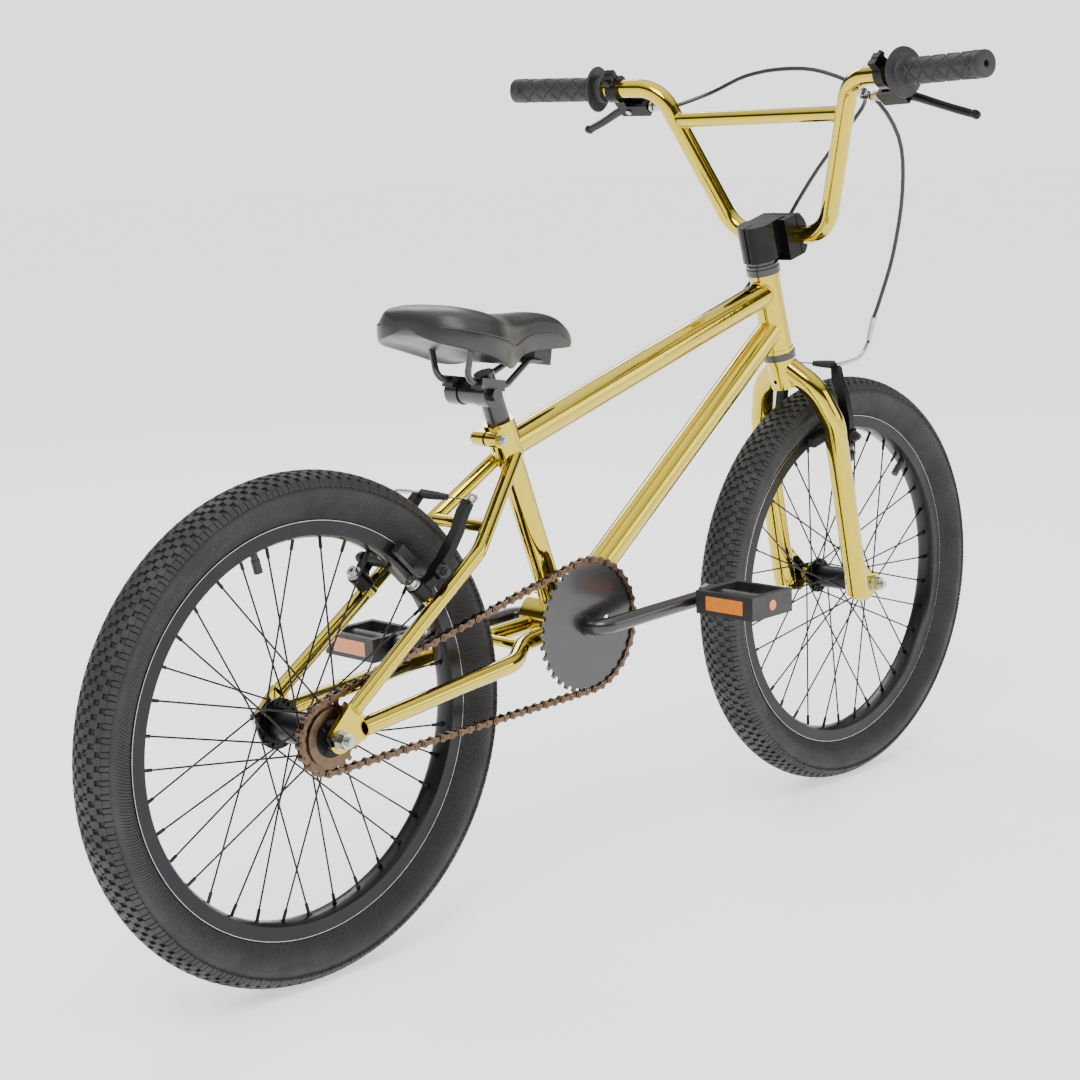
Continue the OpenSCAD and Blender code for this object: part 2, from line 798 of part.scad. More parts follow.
// The pad's stud is turned until the pad lies along the rim
function pad_turn(hub, pivot, angle) =
    let (p = brake_at(pivot, angle, 0, 0, pad_u) - hub, miss = atan2(p[2], p[0]) - angle)
    angle > 90 ? miss : -miss;

module at_brake(pivot, angle, s) {
    out = tilt(angle + (angle > 90 ? -90 : 90));
    placed(pivot, [0, s, 0], out, tilt(angle)) children();
}

module brake_arm(pivot, angle, s) {
    color(black) at_brake(pivot, angle, s) brake_arm_shape();
}

module brake_pad(pivot, angle, s) {
    hub = angle > 90 ? front_hub_at : rear_hub_at;
    color(rubber) at_brake(pivot, angle, s) brake_pad_shape(pad_turn(hub, pivot, angle));
}

module rear_brake_arm_left() { brake_arm(rear_pivot, rear_brake_angle, 1); }
module rear_brake_arm_right() { brake_arm(rear_pivot, rear_brake_angle, -1); }
module rear_brake_pad_left() { brake_pad(rear_pivot, rear_brake_angle, 1); }
module rear_brake_pad_right() { brake_pad(rear_pivot, rear_brake_angle, -1); }
module front_brake_arm_left() { brake_arm(front_pivot, front_brake_angle, 1); }
module front_brake_arm_right() { brake_arm(front_pivot, front_brake_angle, -1); }
module front_brake_pad_left() { brake_pad(front_pivot, front_brake_angle, 1); }
module front_brake_pad_right() { brake_pad(front_pivot, front_brake_angle, -1); }

// ---- wheels --------------------------------------------------------------------------------

section_r = tyre_r - tyre_w / 2;
bead_half = rim_face - rim_wall - 0.3;
bead_t = 2.8;
bed_r = rim_r - 8;
spoke_count = 36;
hole_step = 360 / spoke_count;

module tyre(at) {
    color(rubber) translate(at) on_axle() rotate_extrude() difference() {
        union() {
            intersection() {
                translate([section_r, 0]) circle(d = tyre_w);
                translate([rim_r + 0.5, -tyre_w]) square([tyre_w * 2, tyre_w * 2]);
            }
            translate([bed_r + 1.5, -bead_half]) square([rim_r + 1 - bed_r, 2 * bead_half]);
        }
        intersection() {
            translate([section_r, 0]) circle(d = tyre_w - 2 * tyre_wall);
            translate([rim_r + tyre_wall, -tyre_w]) square([tyre_w * 2, tyre_w * 2]);
        }
        translate([0, -bead_half + bead_t]) square([section_r, 2 * (bead_half - bead_t)]);
    }
}

stem_len = 28;
// A direction square to the wheel's axle, at an angle a above the forward direction
module inner_tube(at, valve_a) {
    low = rim_r + tyre_wall + gap;
    tube_d = tyre_r - tyre_wall - gap - low;
    d = tilt(valve_a);
    color(black) translate(at) {
        on_axle() rotate_extrude() translate([low + tube_d / 2, 0]) difference() {
            circle(d = tube_d);
            circle(d = tube_d - 2.4);
        }
        rod((low + 0.6) * d, (rim_r - rim_h - stem_len + 12) * d, 7.6);
        rod((rim_r - rim_h - stem_len + 20) * d, (rim_r - rim_h - stem_len + 6) * d, 9);
    }
}

module rim(at, valve_a) {
    half = rim_w / 2;
    low = rim_r - rim_h;
    color(black) translate(at) difference() {
        on_axle() rotate_extrude() difference() {
            polygon([[low, -7], [low, 7], [low + 3, half], [rim_r, half], [rim_r, half - rim_wall],
                [bed_r + 1, half - rim_wall], [bed_r, half - rim_wall - 1], [bed_r, -half + rim_wall + 1],
                [bed_r + 1, -half + rim_wall], [rim_r, -half + rim_wall], [rim_r, -half], [low + 3, -half]]);
            polygon([[low + 2.2, -6.4], [low + 2.2, 6.4], [low + 4, half - rim_wall], [bed_r - 1.6, half - rim_wall],
                [bed_r - 1.6, -half + rim_wall], [low + 4, -half + rim_wall]]);
        }
        for (k = [0:spoke_count - 1]) {
            a = valve_a + hole_step * (k + 0.5);
            rod((low - 3) * tilt(a), (low + 3.5) * tilt(a), 5.4);
        }
        rod((low - 3) * tilt(valve_a), (rim_r + 3) * tilt(valve_a), 8.6);
    }
}

// One side's flange, d its spoke circle, y its middle, t its thickness
spoke_hole_d = spoke_d + 0.5;
flange_t = 3;
cross_angle = 6 * hole_step;

module spoke(k, flange_y, circle_r, valve_a) {
    lead = floor(k / 2) % 2 == 0 ? 1 : -1;
    a = valve_a + hole_step * (k + 0.5);
    s = side_of(flange_y);
    face = flange_t / 2 + spoke_d / 2 + 0.3;
    // spokes on the outer face start further out, because they lean back over the flange's edge
    lift = lead > 0 ? 2.4 : 0;
    hub_p = circle_r * tilt(a - lead * cross_angle) + [0, flange_y + s * lead * (face + lift), 0];
    seat_p = (rim_r - rim_h) * tilt(a);
    u = unit(seat_p - hub_p);
    // the spoke, its nipple in the rim and its hooked end through the flange
    rod(hub_p, seat_p + 1 * u, spoke_d);
    rod(seat_p - 12 * u, seat_p + 3 * u, 3.6);
    rod(seat_p + 2.9 * u, seat_p + 5.5 * u, 5.6);
    head = 2 * face + lift;
    rod(hub_p + [0, s * lead * spoke_d / 2, 0], hub_p - [0, s * lead * (head - 0.5), 0], spoke_d);
    rod(hub_p - [0, s * lead * (head - 0.7), 0], hub_p - [0, s * lead * (head + 0.7), 0], 2 * spoke_d);
}

module spokes(at, left_y, right_y, left_r, right_r, valve_a) {
    color(black) translate(at)
        for (k = [0:spoke_count - 1])
            spoke(k, k % 2 == 0 ? left_y : -right_y, k % 2 == 0 ? left_r : right_r, valve_a);
}

cone_d = 15;
ball_ring_w = 7;
front_circle_r = 18;
rear_circle_r = 22;
front_flange_y = 33;
rear_left_y = 36;
rear_right_y = 26;
front_valve = 44;
rear_valve = 104;

// Hub shell along z, spoke holes in both flanges; holes stand where the spokes need them
module hub_shell(lo, hi, circle_r, body_d, valve_a, end_lo, end_hi) {
    difference() {
        union() {
            translate([0, 0, lo]) cylinder(d = body_d, h = hi - lo);
            for (z = [lo, hi]) translate([0, 0, z - flange_t / 2]) cylinder(r = circle_r + 4, h = flange_t);
            translate([0, 0, end_lo]) cylinder(d = cone_d + 13, h = end_hi - end_lo);
        }
        translate([0, 0, end_lo - 1]) cylinder(d = cone_d + 3, h = end_hi - end_lo + 2);
        for (z = [end_lo - 1, end_hi - ball_ring_w]) translate([0, 0, z])
            cylinder(d = cone_d + 7, h = ball_ring_w + 1);
        for (k = [0:spoke_count - 1]) {
            lead = floor(k / 2) % 2 == 0 ? 1 : -1;
            a = valve_a + hole_step * (k + 0.5) - lead * cross_angle;
            z = k % 2 == 0 ? hi : lo;
            rotate(-a) translate([circle_r, 0, z - flange_t]) cylinder(d = spoke_hole_d, h = 2 * flange_t);
        }
    }
}

// Cage with the balls of one bearing
module ball_ring() {
    difference() {
        cylinder(d = cone_d + 7 - 0.2, h = ball_ring_w - 1);
        translate([0, 0, -1]) cylinder(d = cone_d + 2 * run_fit, h = ball_ring_w + 2);
    }
}

module hub_body(lo, hi, circle_r, body_d, valve_a, end_lo, end_hi) {
    on_axle() {
        hub_shell(lo, hi, circle_r, body_d, valve_a, end_lo, end_hi);
        translate([0, 0, end_lo + 0.2]) ball_ring();
        translate([0, 0, end_hi - ball_ring_w + 0.8]) ball_ring();
    }
}

// Axle with its two cones and lock nuts, threaded ends free
// Each end of the axle is turned down a little, so that the nut starts easily
axle_tip = 5;
axle_step = 0.7;
module axle_set(w, d, reach) {
    on_axle() {
        cylinder(d = d, h = w + 2 * (reach - axle_tip), center = true);
        cylinder(d = d - axle_step, h = w + 2 * reach, center = true);
        for (s = [0, 1]) mirror([0, 0, s]) {
            translate([0, 0, w / 2 - 16]) cylinder(d = cone_d, h = 11);
            translate([0, 0, w / 2 - 5.5]) hex_head(17, 5.5);
        }
    }
}

axle_reach = 21;
module axle_nut(y, d) {
    // washer and nut against the outside of the plate
    s = side_of(y);
    aimed([0, y, 0], [0, s, 0]) difference() {
        union() {
            translate([0, 0, 0.1]) cylinder(d = 20, h = 1.6);
            translate([0, 0, 1.7]) hex_head(15, 8.5);
        }
        translate([0, 0, -1]) cylinder(d = d + 0.2, h = 30);
    }
}

module front_axle() {
    color(steel) translate(front_hub_at) {
        axle_set(front_hub_w, front_axle_d, axle_reach);
        for (s = [-1, 1]) axle_nut(s * (fork_plate_y + fork_plate_t), front_axle_d);
    }
}

module rear_axle() {
    color(steel) translate(rear_hub_at) {
        axle_set(rear_hub_w, rear_axle_d, axle_reach + 1);
        for (s = [-1, 1]) axle_nut(s * (plate_y + plate_t), rear_axle_d);
    }
}

module front_tyre() { tyre(front_hub_at); }
module rear_tyre() { tyre(rear_hub_at); }
module front_inner_tube() { inner_tube(front_hub_at, front_valve); }
module rear_inner_tube() { inner_tube(rear_hub_at, rear_valve); }
module front_rim() { rim(front_hub_at, front_valve); }
module rear_rim() { rim(rear_hub_at, rear_valve); }
module front_spokes() {
    spokes(front_hub_at, front_flange_y, front_flange_y, front_circle_r, front_circle_r, front_valve);
}
module rear_spokes() {
    spokes(rear_hub_at, rear_left_y, rear_right_y, rear_circle_r, rear_circle_r, rear_valve);
}

hub_end = 7;
module front_hub() {
    color(black) translate(front_hub_at)
        hub_body(-front_flange_y, front_flange_y, front_circle_r, 24, front_valve,
            -front_hub_w / 2 + hub_end, front_hub_w / 2 - hub_end);
}

core_d = 40;
cog_t = 3;
module rear_hub() {
    color(black) translate(rear_hub_at) {
        hub_body(-rear_right_y, rear_left_y, rear_circle_r, 32, rear_valve,
            -rear_hub_w / 2 + hub_end, rear_hub_w / 2 - hub_end);
        // core of the freewheel, screwed on the hub
        on_axle() translate([0, 0, -chain_y - 5]) difference() {
            cylinder(d = core_d, h = 13);
            translate([0, 0, -1]) cylinder(d = cone_d + 13.02, h = 20);
        }
    }
}

// ---- drive ---------------------------------------------------------------------------------

roller_d = 7.75;

// Toothed wheel with a seat for a chain roller in each gap; the first gap stands at angle a
module teeth(n, r, a) {
    difference() {
        circle(r = r + 1.2);
        for (k = [0:n - 1]) rotate(a + k * 360 / n) translate([r, 0]) circle(d = roller_d + 0.9);
    }
}

// The chain route: upper run, half turn round the ring, lower run, half turn round the cog
run_angle = asin((ring_r - cog_r) / chain_centre);
base_angle = asin(crank_rise / chain_centre);
// The angle of the first tooth gap of each wheel, where the upper run meets it
top_angle = base_angle + 90 + run_angle;
low_angle = base_angle - 90 - run_angle;
run_len = sqrt(pow(chain_centre, 2) - pow(ring_r - cog_r, 2));
run_links = run_len / pitch;
ring_start = run_links - floor(run_links);

module freewheel() {
    color(bronze) translate(rear_hub_at - [0, chain_y, 0]) on_axle() difference() {
        union() {
            linear_extrude(cog_t, center = true) teeth(cog_teeth, cog_r, -top_angle);
            translate([0, 0, -4.5]) cylinder(r = cog_r - 7, h = 4.5);
            cylinder(r = cog_r - 9, h = 5);
        }
        cylinder(d = core_d + 2 * run_fit, h = 40, center = true);
    }
}

ring_gap_angle = -top_angle + (1 - ring_start) * 360 / ring_teeth;
lug_r = 30;

module chainring() {
    color(black) translate(crank_at - [0, chain_y, 0]) on_axle() difference() {
        linear_extrude(cog_t, center = true) teeth(ring_teeth, ring_r, ring_gap_angle);
        cylinder(d = spindle_d + 0.02, h = 20, center = true);
        rotate(-crank_angle) translate([lug_r, 0, 0]) cylinder(d = 9, h = 20, center = true);
    }
}

spindle_d = 22;
arm_d = 17;
crank_elbow_y = 64;
crank_out_y = 90;
right_pedal = crank_at + crank_len * tilt(crank_angle);
left_pedal = crank_at - crank_len * tilt(crank_angle);

module crank_arm(p, s) {
    e = crank_at + [0, s * crank_elbow_y, 0];
    b = p + [0, s * crank_out_y, 0];
    difference() {
        union() {
            rod(crank_at, e, arm_d + 1);
            translate(e) sphere(d = arm_d + 1.4);
            rod(e, b, arm_d);
            rod(b - [0, 8, 0], b + [0, 8, 0], 26);
        }
        rod(b - [0, 12, 0], b + [0, 12, 0], 12.7);
    }
}
module crank() {
    color(black) {
        crank_arm(right_pedal, -1);
        crank_arm(left_pedal, 1);
        rod(crank_at - [0, 48, 0], crank_at + [0, 48, 0], spindle_d);
        // lug that drives the chainring
        rod(crank_at + lug_r * tilt(crank_angle) - [0, 66, 0],
            crank_at + lug_r * tilt(crank_angle) - [0, chain_y - 1, 0], 8.6);
    }
}

crank_cup_w = 9;
crank_cone_d = 34;

module bottom_bracket_cups() {
    color(black) for (s = [-1, 1])
        translate(crank_at) rotate([s * -90, 0, 0]) {
            difference() {
                union() {
                    translate([0, 0, shell_w / 2 - 8]) cylinder(d = cup_seat_d, h = 8);
                    translate([0, 0, shell_w / 2]) cylinder(d = shell_d - 2, h = 2);
                }
                cylinder(d = crank_cone_d + 1, h = 100);
                translate([0, 0, shell_w / 2 - 6]) cylinder(d = cup_seat_d - 5, h = 20);
            }
            // cage with the balls
            translate([0, 0, shell_w / 2 - 5.9]) difference() {
                cylinder(d = cup_seat_d - 5.2, h = 5.5);
                translate([0, 0, -1]) cylinder(d = crank_cone_d + 2 * run_fit, h = 10);
            }
        }
}

module crank_cones() {
    color(steel) for (s = [-1, 1])
        translate(crank_at) rotate([s * -90, 0, 0]) difference() {
            union() {
                translate([0, 0, shell_w / 2 - 7]) cylinder(d = crank_cone_d, h = 7.5);
                translate([0, 0, shell_w / 2 + 0.5]) cylinder(d = crank_cone_d - 4, h = 6);
            }
            cylinder(d = spindle_d + 0.02, h = 100);
        }
}

// ---- pedals --------------------------------------------------------------------------------

pedal_len = 80;
pedal_w = 70;
pedal_h = 26;
pedal_in = crank_out_y + 10;

module pedal_spindles() {
    color(steel) for (s = [-1, 1]) {
        p = s > 0 ? left_pedal : right_pedal;
        aimed(p + [0, s * (crank_out_y - 9), 0], [0, s, 0]) {
            cylinder(d = 12.68, h = 17.2);
            translate([0, 0, 17.2]) cylinder(d = 17, h = 1.5);
            cylinder(d = 9, h = 19 + pedal_len - 8);
        }
    }
}

// Pedal body, along z away from the crank, x forward
module pedal_shape() {
    difference() {
        union() {
            translate([-pedal_w / 2, -pedal_h / 2, 0]) cube([pedal_w, pedal_h, 8]);
            translate([-pedal_w / 2, -pedal_h / 2, pedal_len - 8]) cube([pedal_w, pedal_h, 8]);
            for (x = [-pedal_w / 2, pedal_w / 2 - 7])
                translate([x, -pedal_h / 2, 0]) cube([7, pedal_h, pedal_len]);
            cylinder(d = 20, h = pedal_len);
            for (z = [pedal_len / 3, 2 * pedal_len / 3])
                translate([-pedal_w / 2, -4, z - 2]) cube([pedal_w, 8, 4]);
        }
        translate([0, 0, -1]) cylinder(d = 9 + 2 * run_fit, h = pedal_len - 5);
        // seats of the front and rear reflectors
        for (s = [-1, 1])
            translate([s * pedal_w / 2 - 3.2, -8.2, pedal_len / 2 - 26.2]) cube([6.4, 16.4, 52.4]);
        // seat of the end cap
        translate([0, 0, pedal_len - 3]) cylinder(d = 12, h = 10);
    }
}

module reflectors() {
    for (s = [-1, 1])
        translate([s * (pedal_w / 2 - 1.4) - 1.4, -8, pedal_len / 2 - 26]) cube([2.8, 16, 52]);
    translate([0, 0, pedal_len - 2.9]) cylinder(d = 11.8, h = 3.4);
}

module at_pedal(s) {
    p = s > 0 ? left_pedal : right_pedal;
    placed(p + [0, s * pedal_in, 0], [1, 0, 0], [0, 0, -s], [0, s, 0]) children();
}

module pedal_left() { color(black) at_pedal(1) pedal_shape(); }
module pedal_right() { color(black) at_pedal(-1) pedal_shape(); }
module pedal_reflectors_left() { color([0.9, 0.4, 0.05]) at_pedal(1) reflectors(); }
module pedal_reflectors_right() { color([0.9, 0.4, 0.05]) at_pedal(-1) reflectors(); }

// ---- chain ---------------------------------------------------------------------------------

// A point of the chain's pitch line, m links from where the upper run leaves the cog
function wrap_point(centre, r, start, turn) = centre + r * tilt(start + turn);
ring_wrap = ring_teeth * (180 + 2 * run_angle) / 360;
cog_wrap = cog_teeth * (180 - 2 * run_angle) / 360;
top_dir = tilt(base_angle + run_angle);
low_dir = tilt(180 + base_angle - run_angle);
function chain_point(m) =
    m < run_links ? wrap_point(rear_hub_at, cog_r, top_angle, 0) + m * pitch * top_dir :
    m < run_links + ring_wrap ?
        wrap_point(crank_at, ring_r, top_angle, -(m - run_links) * 360 / ring_teeth) :
    m < 2 * run_links + ring_wrap ?
        wrap_point(crank_at, ring_r, low_angle, 0) + (m - run_links - ring_wrap) * pitch * low_dir :
    wrap_point(rear_hub_at, cog_r, low_angle, -(m - 2 * run_links - ring_wrap) * 360 / cog_teeth);

module link_plate(l, t) {
    linear_extrude(t) {
        circle(d = 8.2);
        translate([l, 0]) circle(d = 8.2);
        translate([0, -2.4]) square([l, 4.8]);
    }
}

// One link from a to b; inner links carry the rollers, outer links the pins
module link(a, b, inner) {
    u = unit(b - a);
    l = norm(b - a);
    placed(a - [0, chain_y, 0], u, cross([0, -1, 0], u), [0, -1, 0]) {
        if (inner) difference() {
            union() {
                for (z = [-2.7, 1.7]) translate([0, 0, z]) link_plate(l, 1);
                for (x = [0, l]) translate([x, 0, -2]) cylinder(d = roller_d, h = 4);
            }
            for (x = [0, l]) translate([x, 0, -5]) cylinder(d = 3.9, h = 10);
        } else {
            for (z = [-3.9, 2.9]) translate([0, 0, z]) link_plate(l, 1);
            for (x = [0, l]) translate([x, 0, -4.5]) cylinder(d = 3.6, h = 9);
        }
    }
}

module chain() {
    color(bronze) for (m = [0:chain_links - 1])
        link(chain_point(m), chain_point(m + 1 == chain_links ? 0 : m + 1), m % 2 == 0);
}

// ---- seat ----------------------------------------------------------------------------------

clamp_t = seat_tube_len + post_out;
post_low = seat_tube_len - 95;
// The rail clamp sits behind the post; the saddle tilts about its bolt
tilt_at = seat_at(clamp_t - 5, 22);
saddle_fwd = [cos(saddle_tilt), 0, -sin(saddle_tilt)];
saddle_up = [sin(saddle_tilt), 0, cos(saddle_tilt)];
function saddle_at(x, y, z) = tilt_at + x * saddle_fwd + [0, y, 0] + z * saddle_up;

// Half width of the post's boss between the clamp shells
boss_y = 12;

module seatpost() {
    color(black) difference() {
        union() {
            rod(seat_at(post_low, 0), seat_at(clamp_t - 16, 0), post_d);
            rod(seat_at(clamp_t - 17, 0), seat_at(clamp_t + 8, 0), 22);
            rod(tilt_at - [0, boss_y, 0], tilt_at + [0, boss_y, 0], 24);
            placed(tilt_at, unit(seat_at(clamp_t - 5, 0) - tilt_at), [0, 1, 0],
                cross(unit(seat_at(clamp_t - 5, 0) - tilt_at), [0, 1, 0]))
                translate([0, -10, -9]) cube([20, 20, 18]);
        }
        rod(seat_at(post_low - 1, 0), seat_at(clamp_t - 20, 0), post_d - 5);
        rod(tilt_at - [0, 40, 0], tilt_at + [0, 40, 0], 8 + 2 * run_fit);
    }
}

rail_y = 22;
rail_d = 7;
rail_z = 11;

module rail_clamp() {
    color(black) difference() {
        union() {
            // bolt through the post's boss, nuts and the four clamp shells
            rod(tilt_at - [0, 34, 0], tilt_at + [0, 34, 0], 8);
            for (s = [-1, 1]) {
                rod(tilt_at + [0, s * (boss_y + gap), 0], tilt_at + [0, s * 30, 0], 27);
                placed(tilt_at, saddle_fwd, [0, 1, 0], saddle_up)
                    translate([-17, s * rail_y - 8, 4]) cube([34, 16, 12]);
                aimed(tilt_at + [0, s * 30, 0], [0, s, 0]) hex_head(13, 7);
            }
        }
        for (s = [-1, 1])
            rod(saddle_at(-40, s * rail_y, rail_z), saddle_at(40, s * rail_y, rail_z), rail_d + 0.02);
    }
}

saddle_nose = 138;
saddle_tail = saddle_nose - saddle_len;
base_z = 52;

module saddle_rail(s) {
    bent_rod([saddle_at(saddle_tail + 64, s * (rail_y + 10), base_z - 0.5), saddle_at(-32, s * rail_y, rail_z),
        saddle_at(26, s * rail_y, rail_z), saddle_at(66, s * 12, 40), saddle_at(100, s * 6, 40.5)], rail_d, 14);
}

module saddle_rails() {
    color(black) {
        saddle_rail(1);
        saddle_rail(-1);
    }
}

// Outline of the saddle seen from above: wide round tail, long narrow nose
module saddle_outline(grow) {
    translate([saddle_tail + saddle_w * 0.42, 0]) scale([0.84, 1]) circle(d = saddle_w + 2 * grow);
    translate([saddle_nose - 19, 0]) circle(r = 19 + grow);
    polygon([[saddle_tail + 90, saddle_w / 2 - 6 + grow], [0, 50 + grow], [40, 28 + grow],
        [saddle_nose - 19, 19 + grow], [saddle_nose - 19, -19 - grow], [40, -28 - grow], [0, -50 - grow],
        [saddle_tail + 90, -saddle_w / 2 + 6 - grow]]);
}

module saddle_base() {
    color(black) placed(tilt_at, saddle_fwd, [0, 1, 0], saddle_up) difference() {
        union() {
            translate([0, 0, base_z]) linear_extrude(4) saddle_outline(-8);
            for (s = [-1, 1]) {
                translate([88, s * 6, 44.2]) cube([26, 10, 16.4], center = true);
                translate([saddle_tail + 64, s * (rail_y + 10), base_z - 1]) cylinder(d = 14, h = 6, center = true);
            }
        }
        placed([0, 0, 0], [cos(saddle_tilt), 0, sin(saddle_tilt)], [0, 1, 0],
            [-sin(saddle_tilt), 0, cos(saddle_tilt)]) translate(-tilt_at)
            for (s = [-1, 1]) saddle_rail(s);
    }
}

module saddle() {
    color(rubber) placed(tilt_at, saddle_fwd, [0, 1, 0], saddle_up) difference() {
        union() {
            translate([0, 0, base_z - 10]) linear_extrude(36) saddle_outline(0);
            translate([saddle_tail + 60, 0, base_z + 26]) cylinder(r = 56, h = 8);
            // the nose rises a little above the waist
            translate([28, -16, base_z + 20]) cube([saddle_nose - 50, 32, 20]);
            // skirts either side of the waist
            intersection() {
                translate([0, 0, base_z - 24]) linear_extrude(20) saddle_outline(0);
                translate([-35, -saddle_w, 0]) cube([60, 2 * saddle_w, 60]);
            }
        }
        translate([0, 0, base_z - 30]) linear_extrude(30 + 4.4) saddle_outline(-7.7);
    }
}

// ---- cables --------------------------------------------------------------------------------

cable_d = 5;

// Sweeps a regular polygon along the points. Each ring stands square to the route, and its first
// corner is turned towards "side", which the route never runs along
function sweep_dir(pts, i) =
    unit(pts[min(i + 1, len(pts) - 1)] - pts[max(i - 1, 0)]);
function sweep_ring(p, u, side, r, n) =
    let (x = unit(cross(side, u)), y = cross(u, x))
    [for (k = [0:n - 1]) p + r * (cos(k * 360 / n) * x + sin(k * 360 / n) * y)];

// A smooth curve through the given points, steps pieces between each two
function curve_point(a, b, c, d, t) =
    0.5 * ((2 * b) + (c - a) * t + (2 * a - 5 * b + 4 * c - d) * t * t + (3 * b - a - 3 * c + d) * t * t * t);
function smooth(pts, steps) = [
    for (i = [0:len(pts) - 2], k = [0:steps - 1])
        curve_point(pts[max(i - 1, 0)], pts[i], pts[i + 1], pts[min(i + 2, len(pts) - 1)], k / steps),
    pts[len(pts) - 1]];

module sweep(pts, ds, side, n = 8) {
    m = len(pts);
    rings = [for (i = [0:m - 1]) each sweep_ring(pts[i], sweep_dir(pts, i), side, ds[i] / 2, n)];
    caps = [[for (k = [n - 1:-1:0]) k], [for (k = [0:n - 1]) (m - 1) * n + k]];
    sides = [for (i = [0:m - 2], k = [0:n - 1])
        [i * n + k, i * n + (k + 1) % n, (i + 1) * n + (k + 1) % n, (i + 1) * n + k]];
    polyhedron(points = rings, faces = concat(caps, sides), convexity = 10);
}

// Housing ends in the barrel adjusters of the levers
adjuster_x = -51;
front_top = lever_pt(1, adjuster_x, 33);
rear_top = lever_pt(-1, adjuster_x, 33);
// The wire runs just over the tips of the brake arms: the noodle sits on one, the anchor bolt
// on the other
noodle_d = 4.4;
wire_d = 1.6;
wire_u = brake_arm_len + 7 + gap + noodle_d / 2;
front_noodle = brake_at(front_pivot, front_brake_angle, -arm_y + 7, 0, wire_u);
front_anchor = brake_at(front_pivot, front_brake_angle, arm_y + 2, 0, wire_u);
rear_noodle = brake_at(rear_pivot, rear_brake_angle, arm_y - 7, 0, wire_u);
rear_anchor = brake_at(rear_pivot, rear_brake_angle, -arm_y - 2, 0, wire_u);

// Housing: flexible, from the adjuster to the bent steel noodle, which turns it into the wire's line
front_housing = [
    front_top, front_top - 18 * lever_x(1), [332, 104, 872], [345, 60, 890], [356, 10, 896],
    [368, -40, 890], [394, -88, 862], [420, -110, 812], [434, -106, 748], [440, -88, 672],
    [438, -68, 612], [438, -58, 588]];
front_bend = [[437, -52, 562], [426, -46, 545], front_noodle + [13, -3, 1], front_noodle];
rear_housing = [
    rear_top, rear_top - 18 * lever_x(-1), [336, -122, 866], [366, -102, 862], [386, -82, 846],
    [388, -50, 814], [383, -18, 776], [377, 8, 738], [369, 28, 702], [352, 43, 666],
    [322, 47, 634], [280, 42, 612], [200, 34, 596], [60, 30, 555], [-60, 28, 518],
    [-120, 31, 500], [-148, 27, 479], [-171, 36, 459], [-195, 47, 440], [-214, 60, 430]];
rear_bend = [[-230, 73, 436], [-240, 78, 450], [-243, 70, 461], [-241, 56, 463], rear_noodle];

// Housing, noodle and wire as one line; steps pieces between each two points
module cable(housing, bend, anchor, side, steps) {
    line = smooth(concat(housing, bend), steps);
    hose = steps * (len(housing) - 1);
    wire = [line[len(line) - 1] + 1.5 * unit(anchor - line[len(line) - 1]), anchor];
    ds = [for (i = [0:len(line) - 1]) i <= hose ? cable_d : noodle_d, wire_d, wire_d];
    color(black) sweep(concat(line, wire), ds, side);
}

module front_brake_cable() {
    cable(front_housing, front_bend, front_anchor, [1, 1, 0], 4);
}

module rear_brake_cable() {
    cable(rear_housing, rear_bend, rear_anchor, [0, 1, 1], 3);
}

head_tube();
top_tube();
down_tube();
seat_tube();
bottom_bracket_shell();
chain_stays();
seat_stays();
stay_bridges();
frame_bolts();
headset_cups();
bottom_bracket_cups();
rear_axle();
rear_brake_cable();
chain();
steerer();
fork_legs();
headset_nuts();
front_axle();
stem();
stem_cap();
fork_bolts();
handlebar();
grip_left();
grip_right();
lever_mounts();
front_brake_cable();
front_tyre();
front_inner_tube();
front_rim();
front_spokes();
front_hub();
rear_tyre();
rear_inner_tube();
rear_rim();
rear_spokes();
rear_hub();
freewheel();
crank();
chainring();
crank_cones();
pedal_spindles();
pedal_left();
pedal_right();
pedal_reflectors_left();
pedal_reflectors_right();
lever_left();
lever_right();
rear_brake_arm_left();
rear_brake_arm_right();
rear_brake_pad_left();
rear_brake_pad_right();
front_brake_arm_left();
front_brake_arm_right();
front_brake_pad_left();
front_brake_pad_right();
seatpost();
rail_clamp();
saddle_rails();
saddle_base();
saddle();
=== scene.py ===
# %% [markdown]
# # A twenty-inch BMX bike
#
# This notebook dresses a bicycle. The engineering model gives every tube, bearing and bolt in its
# true place, in metres, with +X forward, +Y to the rider's left and +Z up. Here each visible
# surface gets its finish, and the pieces whose look depends on fine shape, such as the knobbly
# tyres, the saddle and the grips, are built again as surfaces worked out with numpy.

# %% Load the frame
import bpy
import bmesh
import numpy as np
from mathutils import Matrix


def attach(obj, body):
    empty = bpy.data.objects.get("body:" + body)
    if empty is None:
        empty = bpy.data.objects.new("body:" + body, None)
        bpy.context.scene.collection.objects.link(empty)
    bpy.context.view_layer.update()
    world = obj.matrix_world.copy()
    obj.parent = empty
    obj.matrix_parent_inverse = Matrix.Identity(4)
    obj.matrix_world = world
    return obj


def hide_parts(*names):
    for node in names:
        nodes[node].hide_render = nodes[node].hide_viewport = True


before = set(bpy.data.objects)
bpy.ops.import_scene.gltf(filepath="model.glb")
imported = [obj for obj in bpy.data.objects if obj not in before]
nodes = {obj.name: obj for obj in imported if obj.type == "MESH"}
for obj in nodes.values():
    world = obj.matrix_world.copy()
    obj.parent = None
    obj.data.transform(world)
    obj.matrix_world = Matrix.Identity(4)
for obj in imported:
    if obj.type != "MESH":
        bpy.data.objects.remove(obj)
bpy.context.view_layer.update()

# %% [markdown]
# ## Camera, floor and light
#
# The view is from behind and to the right, a little above the saddle, with a long lens. A camera
# can be placed by typing a matrix, but a target, a compass angle, a height angle and a small roll
# are easier to read, so the three axes of the camera are worked out from those four values.

